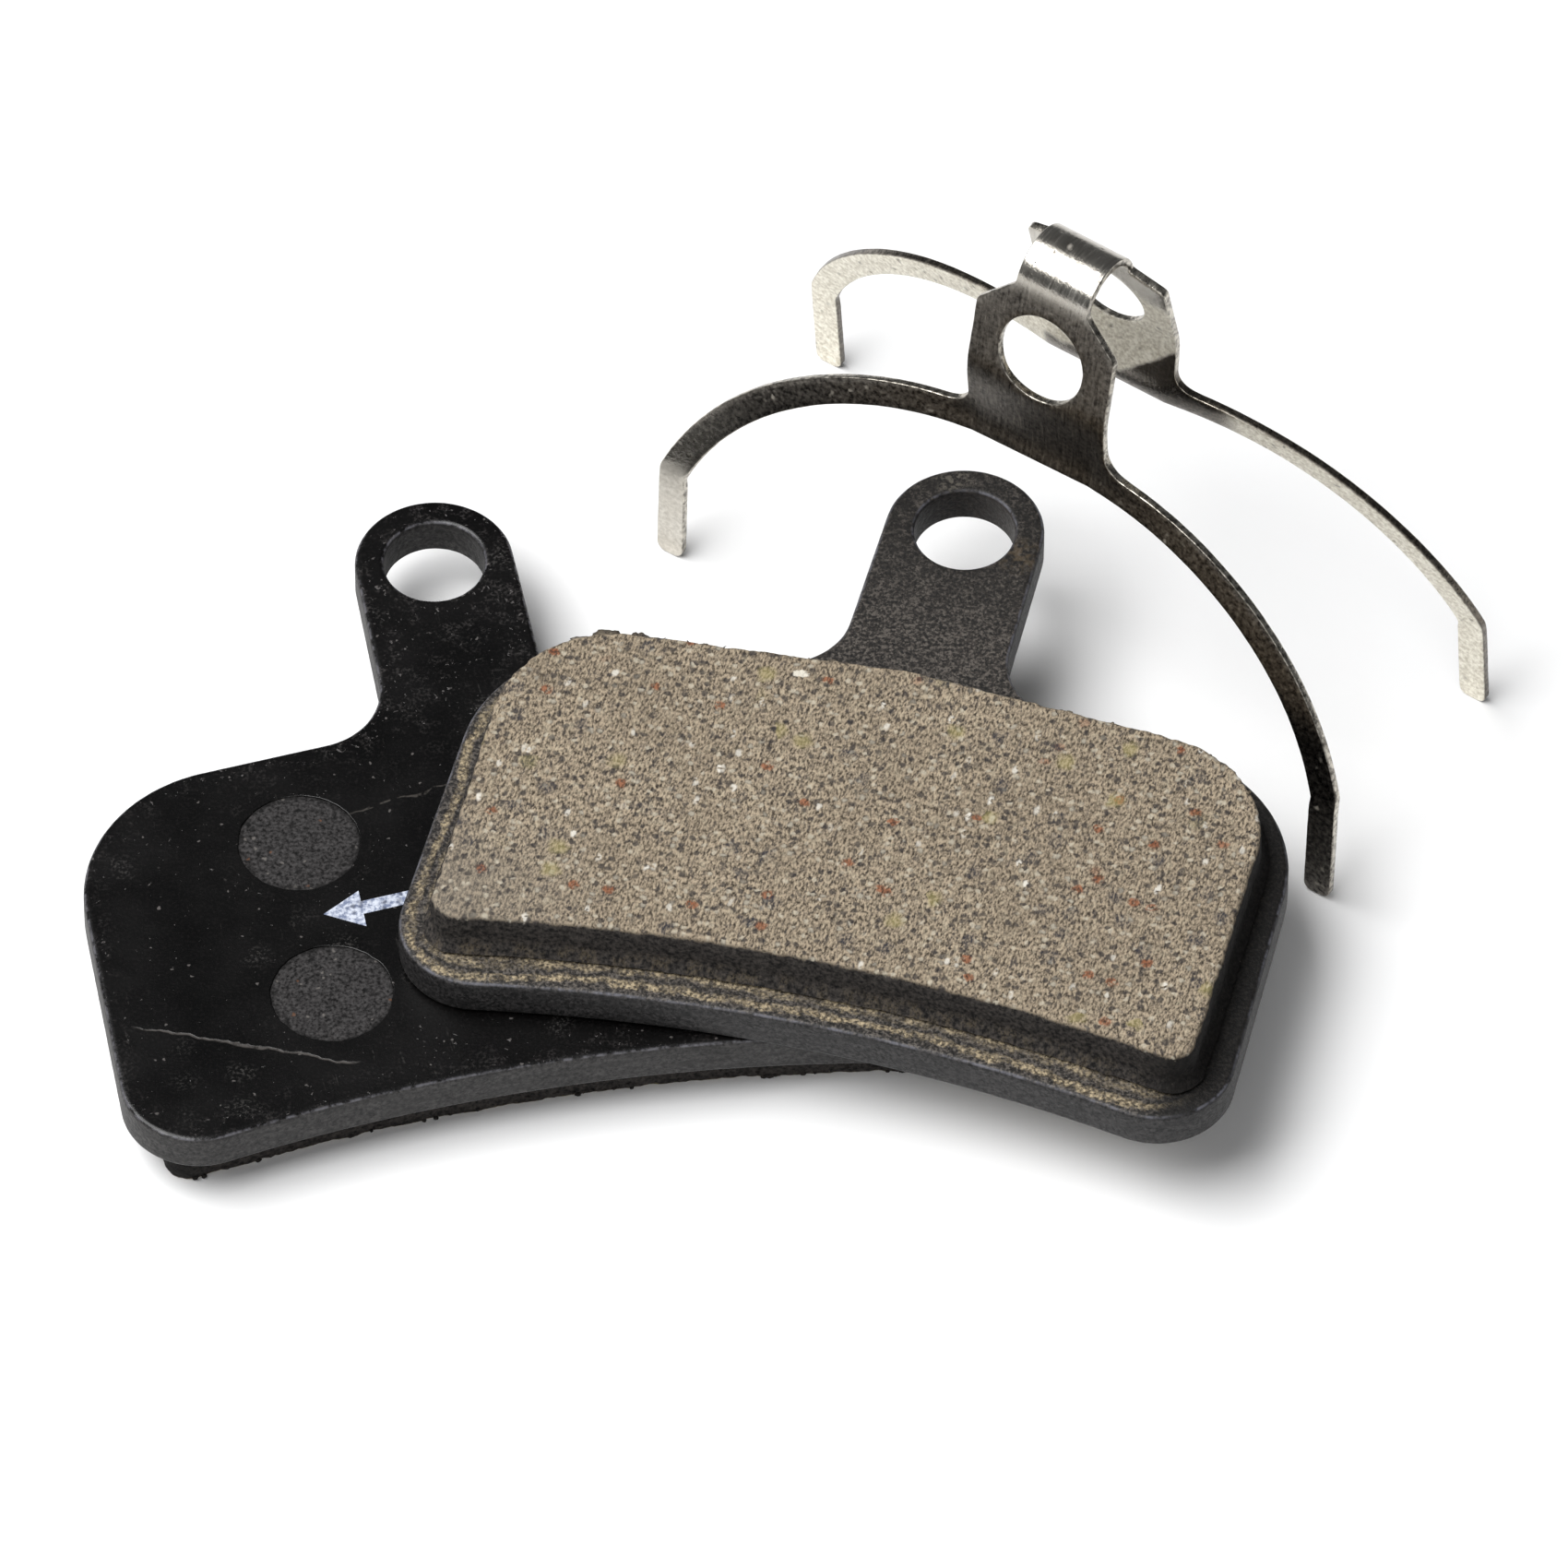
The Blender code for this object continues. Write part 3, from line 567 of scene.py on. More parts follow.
def gloss_plate_material(name):
    s = Mat(name)
    co = s.attr("pad", "Vector")
    rim = s.attr("rim")
    x, y, z = s.xyz(co)
    fine = s.noise(6.5, 3.0, 0.62)
    soft = s.noise(0.22, 4.0, 0.62)
    base = s.mix(s.range(soft, 0.35, 0.75), C(3, 3, 3), C(8, 7, 7))
    base = s.mix(s.mul(s.range(fine, 0.50, 0.70), 0.5), base, C(24, 21, 21))
    # ---- dust and chips, thicker on the tab, along the lower edge and towards the rims
    edge_y = s.math("ADD", y, s.mul(s.math("MULTIPLY", x, x), 0.0065))
    tab = s.math("ADD", s.range(y, -14, -4, 0.15, 0.9), s.range(rim, 0.2, 1.5, 0.5, 0))
    tab = s.math("MAXIMUM", tab, s.mul(s.range(edge_y, -26.2, -28.2), 0.75))
    dots = s.noise(4.2, 2.0, 0.65, s.warped(co, 1.5, 0.6))
    field = s.noise(0.55, 3.0, 0.65, co)
    speck = s.range(s.math("ADD", dots, s.math("ADD", s.range(tab, 0, 1, -0.02, 0.045), s.range(field, 0.35, 0.65, -0.04, 0.035))), 0.70, 0.76)
    base = s.mix(s.mul(speck, 0.85), base, C(92, 88, 87))
    d, r, g, b = s.cells(2.6, s.warped(co, 4.0, 0.25), True)
    dot = s.mul(s.range(r, 0.975, 0.98), s.range(d, 0.10, 0.20, 1, 0))
    base = s.mix(s.mul(dot, 0.7), base, C(104, 100, 98))
    d4, r4, g4, b4 = s.cells(0.50, s.warped(co, 2.0, 0.9), True)
    smear = s.mul(s.range(g4, 0.80, 0.9), s.range(d4, 0.05, 0.42, 1, 0), s.range(fine, 0.50, 0.62))
    base = s.mix(s.mul(smear, 0.40), base, C(84, 82, 80))
    mott = s.mul(s.range(s.noise(1.1, 4.0, 0.7), 0.50, 0.62), s.range(tab, 0.2, 1.0), s.range(fine, 0.46, 0.60))
    base = s.mix(s.mul(mott, 0.45), base, C(72, 69, 68))
    # ---- one long scratch and several short scuffs
    wob = s.range(s.noise(0.8, 2.0, 0.5), 0.3, 0.7, -0.16, 0.16)
    line = s.math("ABSOLUTE", s.math("ADD", s.math("ADD", y, s.math("MULTIPLY_ADD", x, 0.412, 30.5)), wob))
    scr = s.mul(s.range(line, 0.03, 0.08, 1, 0), s.range(x, -17.4, -16.6), s.range(x, -8.6, -8.0, 1, 0),
                s.range(s.noise(2.6, 2.0, 0.6), 0.34, 0.52, 0.25, 1.0))
    base = s.mix(s.mul(scr, 0.75), base, C(74, 70, 67))
    line2 = s.math("ABSOLUTE", s.math("ADD", s.math("ADD", y, s.math("MULTIPLY_ADD", x, -0.15, 12.4)), wob))
    scr2 = s.mul(s.range(line2, 0.03, 0.07, 1, 0), s.range(x, -6.5, -5.5), s.range(x, 0.5, 1.5, 1, 0), s.range(s.noise(2.2, 2.0, 0.6), 0.40, 0.52))
    base = s.mix(s.mul(scr2, 0.6), base, C(78, 74, 70))
    streak = s.noise(1.0, 3.0, 0.6, s.scaled(co, (3.5, 0.35, 1.0)), 0.3)
    s2 = s.mul(s.range(streak, 0.64, 0.70), s.range(s.noise(0.3, 2.0), 0.48, 0.60), s.range(fine, 0.42, 0.55))
    base = s.mix(s.mul(s2, 0.40), base, C(64, 62, 60))
    # ---- sheared walls: grainy and greyer
    w = s.attr("wall")
    lines = s.noise(5.4, 3.0, 0.65)
    draw = s.noise(1.0, 2.0, 0.5, s.scaled(co, (0.5, 0.5, 4.0)))
    wallc = s.mix(s.range(lines, 0.36, 0.66), C(16, 15, 15), C(66, 64, 63))
    wallc = s.mix(s.range(draw, 0.45, 0.60, 0.0, 0.5), wallc, C(24, 23, 22))
    base = s.mix(s.range(w, 0.35, 0.8), base, wallc)
    # painted highlight: a broken bluish-grey glint line along the rounded rims
    painted_rim_glint = s.mul(s.range(w, 0.12, 0.4), s.range(w, 0.85, 0.6), s.range(s.noise(2.2, 3.0, 0.65), 0.42, 0.60), s.range(rim, 0.5, 0.2))
    base = s.mix(s.mul(painted_rim_glint, 0.75), base, C(98, 97, 102))
    s.set("Base Color", base)
    rough = s.range(soft, 0.3, 0.75, 0.20, 0.34)
    rough = s.math("ADD", rough, s.mul(s.range(w, 0.5, 0.95), 0.30))
    rough = s.math("ADD", rough, s.mul(scr, 0.3))
    s.set("Roughness", rough)
    s.set("Specular IOR Level", 0.34)
    h = s.math("SUBTRACT", s.math("ADD", s.mul(fine, 0.35), s.mul(speck, 0.5)), s.mul(scr, 0.8))
    s.bump(h, 0.020)
    s.bump(s.mul(lines, w), 0.05)
    return s.m


def matte_plate_material(name):
    s = Mat(name)
    co = s.attr("pad", "Vector")
    x, y, z = s.xyz(co)
    rim = s.attr("rim")
    w = s.attr("wall")
    fine = s.noise(6.2, 3.0, 0.65)
    soft = s.noise(0.3, 3.0, 0.6)
    base = s.mix(s.range(fine, 0.36, 0.66), C(12, 11, 10), C(59, 54, 50))
    base = s.mix(s.range(soft, 0.35, 0.7, 0.0, 0.4), base, C(22, 20, 19))
    grit = s.noise(6.6, 2.0, 0.7)
    base = s.mix(s.range(grit, 0.50, 0.62, 0.0, 0.72), base, C(100, 94, 88))
    base = s.mix(s.range(grit, 0.44, 0.36, 0.0, 0.85), base, C(9, 8, 8))
    upper = s.range(y, -6.5, -1.5)
    base = s.mix(s.mul(upper, s.range(s.noise(1.6, 3.0, 0.65), 0.34, 0.54, 0.35, 1.0), 0.72), base, C(17, 15, 13))
    d, r, g, b = s.cells(3.6, s.warped(co, 4.0, 0.25), True)
    speck = s.mul(s.range(r, 0.955, 0.97), s.range(d, 0.10, 0.30, 1, 0))
    base = s.mix(s.mul(speck, 0.5), base, C(104, 99, 92))
    # brown dust worn onto the tab beside the pin hole
    near = s.math("POWER", s.math("ADD", s.math("POWER", s.math("ADD", x, 2.7), 2.0), s.math("POWER", s.math("ADD", y, 0.9), 2.0)), 0.5)
    patch = s.mul(s.range(near, 0.3, 1.2, 1, 0), s.range(s.noise(3.0, 2.0), 0.42, 0.58))
    base = s.mix(s.mul(patch, 0.45), base, C(96, 82, 62))
    # painted highlight: a pale glint near the top of the pin hole
    near2 = s.math("POWER", s.math("ADD", s.math("POWER", s.math("ADD", x, -1.2), 2.0), s.math("POWER", s.math("ADD", y, -2.6), 2.0)), 0.5)
    painted_glint = s.mul(s.range(near2, 0.2, 1.0, 1, 0), s.range(s.noise(5.0, 2.0), 0.50, 0.60))
    base = s.mix(s.mul(painted_glint, 0.35), base, C(132, 126, 114))
    # ---- lining dust settled in bands along the ledge
    wander = s.math("ADD", s.range(s.noise(1.3, 3.0, 0.65), 0.25, 0.75, -0.22, 0.22), s.range(s.noise(0.22, 2.0, 0.5), 0.3, 0.7, -0.22, 0.22))
    band_edge = s.math("ADD", rim, wander)
    left = s.math("MAXIMUM", s.range(y, -24.6, -25.8), s.mul(s.range(x, 13.0, 16.5), s.range(y, -12, -17)))
    left = s.mul(left, s.range(x, -17.2, -15.2))
    inner = s.mul(s.range(band_edge, 1.00, 1.25), s.range(s.noise(0.9, 3.0, 0.6), 0.38, 0.54, 0.2, 1.0))
    outer = s.mul(s.range(band_edge, 0.32, 0.46), s.range(band_edge, 0.84, 0.68), s.range(s.noise(1.3, 3.0, 0.6), 0.36, 0.52, 0.25, 1.0))
    dust = s.mul(s.math("MAXIMUM", s.mul(inner, 0.8), outer), left, s.range(fine, 0.40, 0.52, 0.2, 1.0))
    base = s.mix(s.mul(dust, 0.92), base, s.mix(s.range(s.noise(6.0, 2.0), 0.35, 0.65), C(78, 68, 52), C(188, 171, 140)))
    lines = s.noise(5.4, 3.0, 0.65)
    draw = s.noise(1.0, 2.0, 0.5, s.scaled(co, (0.5, 0.5, 4.0)))
    wallc = s.mix(s.range(lines, 0.40, 0.62), C(5, 5, 5), C(55, 53, 53))
    wallc = s.mix(s.range(draw, 0.45, 0.60, 0.0, 0.5), wallc, C(26, 25, 25))
    base = s.mix(s.mul(s.range(x, -14.5, -16.2), s.range(y, -10, -12), 0.85), base, C(5, 4, 3))
    bore = s.range(s.math("POWER", s.math("ADD", s.math("POWER", x, 2.0), s.math("POWER", y, 2.0)), 0.5), 2.7, 2.5)
    bore_c = s.mix(s.range(lines, 0.40, 0.62), C(9, 8, 7), C(42, 37, 34))
    bore_c = s.mix(s.range(x, 0.8, -2.0, 0.0, 0.55), bore_c, C(62, 57, 53))
    wallc = s.mix(bore, wallc, bore_c)
    base = s.mix(s.range(w, 0.35, 0.8), base, wallc)
    # painted highlight: a broken bluish-grey glint line along the rounded rims
    painted_rim_glint = s.mul(s.range(w, 0.10, 0.35), s.range(w, 0.85, 0.55), s.range(s.noise(2.2, 3.0, 0.65), 0.36, 0.54), s.range(rim, 0.5, 0.2))
    base = s.mix(s.mul(painted_rim_glint, s.range(s.noise(0.9, 2.0, 0.5), 0.40, 0.56, 0.15, 0.75)), base, C(98, 98, 106))
    s.set("Base Color", base)
    s.set("Roughness", s.range(fine, 0.3, 0.7, 0.66, 0.46))
    s.set("Specular IOR Level", 0.35)
    s.bump(s.math("ADD", fine, s.mul(dust, 0.4)), 0.035)
    s.bump(s.mul(lines, w), 0.05)
    return s.m


def ink_material(name):
    s = Mat(name)
    fine = s.noise(5.0, 2.0, 0.6)
    d, r, g, b = s.cells(3.0, s.warped(s.mm, 4.0, 0.2))
    gap = s.mul(s.range(r, 0.45, 0.60), s.range(d, 0.2, 0.55, 1, 0))
    base = s.mix(s.range(fine, 0.38, 0.62), C(112, 122, 148), C(205, 211, 224))
    base = s.mix(s.mul(gap, 0.8), base, C(58, 64, 84))
    s.set("Base Color", base)
    s.set("Roughness", s.range(fine, 0.3, 0.7, 0.75, 0.5))
    s.bump(s.math("SUBTRACT", fine, gap), 0.02)
    return s.m


def steel_material(name, lip, total):
    """Stamped stainless strip. The front half's outer face is painted darker, up to lip millimetres from the front
    tips, as a painted dark reflection; the rear half's inner face is painted pale as a painted floor reflection.
    total is the strip's whole unfolded length."""
    s = Mat(name)
    co = s.attr("blank", "Vector")
    u, v, off = s.xyz(co)
    w = s.attr("wall")
    lines = s.noise(1.0, 4.0, 0.65, s.scaled(co, (8.0, 0.9, 1.0)))
    cross = s.noise(4.5, 3.0, 0.6, co)
    plain = s.range(s.math("ABSOLUTE", u), 3.2, 5.0)
    brush = s.math("ADD", s.mul(lines, s.math("SUBTRACT", 1.0, plain)), s.mul(cross, plain))
    fine = s.noise(6.5, 2.0, 0.6)
    soft = s.noise(0.5, 3.0, 0.6)
    base = s.mix(s.range(brush, 0.3, 0.7), C(176, 171, 162), C(214, 210, 201))
    base = s.mix(s.range(soft, 0.35, 0.7, 0.0, 0.35), base, C(176, 168, 154))
    d, r, g, b = s.cells(2.0, s.warped(co, 3.0, 0.4), True)
    pit = s.mul(s.range(r, 0.90, 0.93), s.range(d, 0.05, 0.20, 1, 0))
    base = s.mix(s.mul(pit, 0.7), base, C(84, 78, 70))
    # ---- painted dark reflection on the front half's outer face, left off near the front-left tip where the floor's reflection shows; with real scuffs
    outer = s.mul(s.range(off, 0.05, 0.15), s.range(v, lip - 0.7, lip + 0.6, 1, 0, True))
    tip = s.mul(s.range(u, -15.6, -12.4, 1, 0, True), s.range(s.math("ADD", v, s.range(cross, 0.3, 0.7, -0.8, 0.8)), 11.4, 6.0, 0, 1, True))
    outer = s.mul(outer, s.math("SUBTRACT", 1.0, tip))
    dark_reflection_and_scuffs = s.mix(s.range(s.math("ADD", s.mul(brush, 0.45), s.mul(cross, 0.55)), 0.36, 0.66), C(55, 52, 49), C(122, 117, 110))
    dark_reflection_and_scuffs = s.mix(s.mul(s.range(brush, 0.62, 0.68), s.range(s.noise(0.8, 2.0), 0.45, 0.6), 0.7), dark_reflection_and_scuffs, C(150, 144, 134))
    scuff = s.mul(s.range(g, 0.80, 0.86), s.range(d, 0.10, 0.30, 1, 0), s.range(s.noise(0.35, 2.0), 0.50, 0.60))
    dark_reflection_and_scuffs = s.mix(s.mul(scuff, 0.7), dark_reflection_and_scuffs, C(186, 180, 168))
    base = s.mix(outer, base, dark_reflection_and_scuffs)
    # ---- the rear half's inner face: a painted pale floor reflection, made less metallic and rougher, with a painted dark reflection band across the root of the leg
    up = s.math("SUBTRACT", total, s.math("ADD", v, s.range(soft, 0.3, 0.7, -0.25, 0.25)))
    inner = s.mul(s.range(off, -0.05, -0.15, 0, 1, True), s.range(up, 21.9, 20.8, 0, 1, True))
    slope = s.math("MINIMUM", s.math("SUBTRACT", up, s.mul(u, 0.97)), s.math("SUBTRACT", up, 0.7))
    band = s.mul(s.range(slope, 14.45, 14.05, 0, 1, True), s.range(u, 6.8, 5.4, 0, 1, True), s.range(u, -3.3, -3.0, 0, 1, True))
    floor_reflection_mask = s.mul(inner, s.math("SUBTRACT", 1.0, band))
    floor_reflection_cream = s.mix(s.range(s.noise(5.0, 3.0, 0.65), 0.34, 0.66), C(196, 188, 170), C(250, 246, 232))
    floor_reflection_cream = s.mix(s.mul(s.range(r, 0.86, 0.90), s.range(d, 0.10, 0.30, 1, 0), 0.7), floor_reflection_cream, C(120, 112, 98))
    base = s.mix(s.mul(floor_reflection_mask, 0.92), base, floor_reflection_cream)
    base = s.mix(s.mul(inner, band, 0.8), base, s.mix(s.range(fine, 0.36, 0.64), C(52, 47, 42), C(112, 104, 94)))
    base = s.mix(s.range(w, 0.4, 0.9, 0.0, 0.8), base, s.mix(s.range(s.noise(3.4, 3.0, 0.65), 0.38, 0.60), C(70, 66, 60), C(206, 200, 188)))
    # painted dark reflection on the rear half's sheet edges down the legs
    dark_edge_reflection = s.mul(s.range(w, 0.4, 0.9), s.range(up, 17.0, 15.8, 0, 1, True), s.range(off, -0.19, -0.12, 0, 1, True))
    base = s.mix(s.mul(dark_edge_reflection, 0.85), base, s.mix(s.range(fine, 0.36, 0.62), C(40, 36, 32), C(104, 96, 86)))
    s.set("Base Color", base)
    s.set("Metallic", s.math("SUBTRACT", 1.0, s.mul(floor_reflection_mask, 0.55)))
    rough = s.range(brush, 0.3, 0.7, 0.15, 0.25)
    rough = s.math("ADD", rough, s.mul(floor_reflection_mask, 0.22))
    rough = s.math("ADD", rough, s.mul(s.range(v, lip - 1.6, lip, 0, 1, True), s.range(off, 0.0, 0.1), s.range(lines, 0.3, 0.7, 0.0, 0.05)))
    rough = s.math("ADD", rough, s.mul(outer, 0.10))
    rough = s.math("ADD", rough, s.mul(s.range(w, 0.4, 0.9), 0.06))
    rough = s.math("ADD", rough, s.mul(scuff, 0.35))
    s.set("Roughness", rough)
    s.bump(s.math("ADD", s.mul(brush, 0.6), s.mul(pit, -0.5)), 0.012)
    s.bump(fine, 0.008)
    s.bump(s.mul(s.noise(2.4, 3.0, 0.6), w), 0.03)
    return s.m


def floor_material(name):
    s = Mat(name)
    n = s.noise(0.02, 3.0, 0.6)
    s.set("Base Color", s.mix(s.range(n, 0.3, 0.7), C(246, 246, 246), C(250, 250, 250)))
    s.set("Roughness", s.range(n, 0.3, 0.7, 0.9, 0.8))
    s.set("Specular IOR Level", 0.2)
    return s.m


FRICTION = friction_material("friction_mix", C(50, 44, 38), C(178, 162, 139))
PLUG = plug_material("plug_mix")
BOND = bond_material("bond_dust")
GLOSS = gloss_plate_material("satin_black_paint")
MATTE = matte_plate_material("matte_black_paint")
INK = ink_material("printed_ink")


# ------------------------------------------------------------------ pads
def crumb(cx, cy, cz, rx, ry, rz, seed, dark=0.25):
    """Lump of lining mixture left on an edge."""
    bm = bmesh.new()
    bmesh.ops.create_icosphere(bm, subdivisions=3, radius=1.0)
    for v in bm.verts:
        n = 1 + 0.30 * noise.noise(v.co * 1.4 + Vector((seed, 0, 0))) + 0.16 * noise.noise(v.co * 4.0 + Vector((0, seed, 0)))
        v.co = Vector((cx + v.co.x * rx * n, cy + v.co.y * ry * n, cz + v.co.z * rz * n))
    bm.normal_update()
    out = ([tuple(v.co) for v in bm.verts], [tuple(v.index for v in f.verts) for f in bm.faces], dark)
    bm.free()
    return out


def whisker(x, y, z, dx, dy, dz, r, seed):
    """Torn fibre sticking out of an edge."""
    verts, faces = [], []
    n, k = 6, 6
    for j in range(n + 1):
        t = j / n
        bend = 0.35 * math.sin(t * 2.4 + seed)
        px, py, pz = x + dx * t - dy * bend * t, y + dy * t + dx * bend * t, z + dz * t
        rr = r * (1 - t) ** 0.7 + 0.008
        for i in range(k):
            a = 2 * math.pi * i / k
            verts.append((px + rr * math.cos(a), py + rr * 0.4 * math.sin(a), pz + rr * math.sin(a)))
    for j in range(n):
        for i in range(k):
            i2 = (i + 1) % k
            faces.append((j * k + i, j * k + i2, (j + 1) * k + i2, (j + 1) * k + i))
    faces.append(tuple(reversed(range(k))))
    faces.append(tuple(n * k + i for i in range(k)))
    return verts, faces, 0.9


def plate(prefix, m, mat, body):
    holes = [even(circle(x, y, PLUG_HOLE_R, 90), 0.2) for x, y in PLUG_AT.values()]
    loops = [even(plate_outline(), 0.22), even(circle(0, 0, PIN_R, 120), 0.15)] + holes

    def wall(x, y, z, li):
        t = (z - PLATE_Z0) / PLATE_T
        body_n = grain(x, y, z, 1.6, 3.1) * 0.012 + grain(x, y, z * 0.6, 4.0, 7.7) * 0.008
        tear = 0.035 * max(0.0, t - 0.55) if li == 0 else 0.0
        if li > 1:
            return 0.055 * grain(x, y, 0, 1.7, 4.4) + 0.05 * grain(x, y, 0, 4.2, 6.1)
        return abs(body_n) + tear * 0.5

    def cap(x, y, z, rim):
        dip = 0.006 * (grain(x, y, 0, 0.35, 1.7) + 0.5 * grain(x, y, 0, 1.1, 5.2))
        return z - abs(dip) if z > PLATE_Z0 + 0.5 else z + abs(dip)

    o = slab(prefix + "_plate_skin", loops, rounded(PLATE_Z0, PAD_T, RIM, 6, 5), 0.62, m, [mat], wall, cap, 11)
    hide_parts(prefix + "_backing_plate")
    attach(o, body)
    return o


def lining(prefix, m, shift, body, extra, seed):
    loop = even(lining_outline(0, shift), 0.13)
    prof = [(0.20, 0.0, 0.0), (0.11, 0.025, 0.15), (0.045, 0.09, 0.4), (0.01, 0.2, 0.8)]
    prof += [(0.0, z, 1.0) for z in (0.38, 0.58, 0.80, 1.02, 1.24, 1.44)]
    prof += [(-0.05, 1.56, 1.0), (-0.13, 1.70, 1.0), (-0.24, 1.82, 1.0), (-0.34, 1.91, 1.0), (-0.40, 1.96, 0.9)]

    def wall(x, y, z, li):
        t = z / LINING_T
        n = 0.040 * grain(x, y, z, 2.4, seed) + 0.045 * grain(x, y, z, 0.8, seed + 4) + 0.02 * grain(x, y, z, 5.0, seed + 9)
        torn = 0.0
        if t < 0.12:   # the ground edge crumbles
            torn = 0.10 * max(0.0, grain(x, y, 0.3, 1.7, seed + 2)) + 0.05 * max(0.0, grain(x, y, 0.1, 4.5, seed))
        return n + torn

    def cap(x, y, z, rim):
        if z > 1:
            return z
        n = 0.5 * grain(x, y, 0, 3.3, seed) + 0.5 * grain(x, y, 0, 1.2, seed + 1)
        pit = max(0.0, grain(x, y, 0, 2.0, seed + 6) - 0.35)
        return abs(n) * 0.035 + pit * 0.14

    o = slab(prefix + "_lining_skin", [loop], prof, 0.21, m, [FRICTION], wall, cap, 21, extra, smooth=55)
    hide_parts(prefix + "_friction_lining")
    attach(o, body)
    return o


def plug(prefix, label, m, body, seed):
    x0, y0 = PLUG_AT[label]
    zb = LINING_T + SEAT
    top = PAD_T - 0.03
    loop = even(circle(x0, y0, PLUG_HOLE_R + 0.08, 120), 0.12)
    prof = [(0.05, zb, 1.0), (0.0, zb + 0.1, 1.0), (0.0, zb + 0.9, 1.0), (0.0, top - 0.14, 1.0), (0.03, top - 0.07, 0.6), (0.12, top - 0.02, 0.2)]

    def wall(x, y, z, li):
        return 0.03 * abs(grain(x, y, z, 5.0, seed))

    def cap(x, y, z, rim):
        if z < top - 0.5:
            return z
        n = 0.5 * grain(x, y, 0, 3.6, seed) + 0.5 * grain(x, y, 0, 1.3, seed + 3)
        pit = max(0.0, grain(x, y, 0, 2.4, seed + 8) - 0.30)
        return z - abs(n) * 0.06 - pit * 0.22

    o = slab(f"{prefix}_plug_skin_{label}", [loop], prof, 0.12, m, [PLUG], wall, cap, 31, smooth=55)
    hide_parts(f"{prefix}_plug_{label}")
    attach(o, body)
    return o


def edge_crumbs(loop, n, seed, z_lo, z_hi, size, pick, dark=0.25):
    rng = np.random.default_rng(seed)
    out = []
    nrm = inward(loop)
    idx = [i for i in range(len(loop)) if pick(*loop[i])]
    for i in rng.choice(idx, n, replace=False):
        (x, y), (nx, ny) = loop[i], nrm[i]
        r = size * rng.uniform(0.5, 1.3)
        out.append(crumb(x + nx * r * 0.35, y + ny * r * 0.35, rng.uniform(z_lo, z_hi), r * rng.uniform(0.8, 1.7), r, r * rng.uniform(0.6, 1.0), float(rng.uniform(0, 50)), dark))
    return out


front_loop = turned(even(lining_outline(), 0.13), True)
front_extra = [crumb(13.22, -11.24, 0.44, 0.66, 0.42, 0.40, 3.0, 0.55), crumb(14.05, -11.74, 0.42, 0.66, 0.34, 0.34, 5.0, 0.5),
               crumb(12.86, -11.02, 0.46, 0.26, 0.26, 0.30, 6.5, 0.6), crumb(11.78, -11.06, 0.44, 0.46, 0.46, 0.38, 9.0, 0.6),
               crumb(11.36, -11.20, 0.42, 0.30, 0.26, 0.28, 12.0, 0.5)]
front_extra += edge_crumbs(front_loop, 44, 5, 0.18, 0.5, 0.13, lambda x, y: y > -13 and x < 11.5, 0.5)
for wx, wy, dx, dy, sd in ((9.75, -10.95, 0.10, 0.34, 0.4), (8.70, -10.85, -0.55, 0.22, 1.6), (8.95, -10.86, 0.22, 0.30, 2.2),
                           (7.35, -10.75, -0.50, 0.26, 0.9), (10.95, -11.05, -0.25, 0.28, 2.9), (4.1, -10.52, -0.30, 0.24, 1.1),
                           (-6.2, -10.62, 0.22, 0.26, 2.0), (-10.4, -10.95, -0.24, 0.26, 0.2)):
    front_extra.append(whisker(wx, wy, 0.30, dx * 1.25, dy * 1.25, 0.05, 0.095, sd))
rear_loop = turned(even(lining_outline(0, REAR_SHIFT), 0.13), True)
rear_extra = edge_crumbs(rear_loop, 60, 6, 0.10, 0.5, 0.12, lambda x, y: y < -25.5, 1.0)

plate("rear", REAR_M, GLOSS, "rear_pad")
plate("front", FRONT_M, MATTE, "front_pad")
lining("rear", REAR_M, REAR_SHIFT, "rear_pad", rear_extra, 2.3)
lining("front", FRONT_M, 0.0, "front_pad", front_extra, 8.1)
for k, label in enumerate(PLUG_AT):
    plug("rear", label, REAR_M, "rear_pad", 10.0 + 7 * k)
    plug("front", label, FRONT_M, "front_pad", 50.0 + 7 * k)

for name, mat in (("rear_bond_layer", BOND), ("front_bond_layer", BOND), ("rear_direction_mark", INK)):
    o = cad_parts[name]
    o.data.materials.clear()
    o.data.materials.append(mat)


# ------------------------------------------------------------------ spring: one sheet, bent over the top
def upper_line(which):
    t, l = math.radians(TIP_LEAN), math.radians(LEAN[which])
    return Vector((SIDE[which] * (FOOT_Y - TIP_V * math.sin(t)), TIP_V * math.cos(t))), Vector((-SIDE[which] * math.sin(l), math.cos(l)))


def bow_centre():
    (pf, df), (pr, dr) = upper_line("front"), upper_line("rear")
    pf, pr = pf + Vector((df.y, -df.x)) * BOW_R, pr + Vector((-dr.y, dr.x)) * BOW_R
    det = df.x * -dr.y + dr.x * df.y
    q = pr - pf
    return pf + ((q.x * -dr.y + dr.x * q.y) / det) * df


BOW_C = bow_centre()
BV = {}
for _w in ("front", "rear"):
    _p, _d = upper_line(_w)
    BV[_w] = TIP_V + (BOW_C - _p).dot(_d)
A0, A1 = math.pi - math.radians(LEAN["front"]), math.radians(LEAN["rear"])
BOW_L = BOW_R * (A0 - A1)
W_ALL = BV["front"] + BOW_L + BV["rear"]


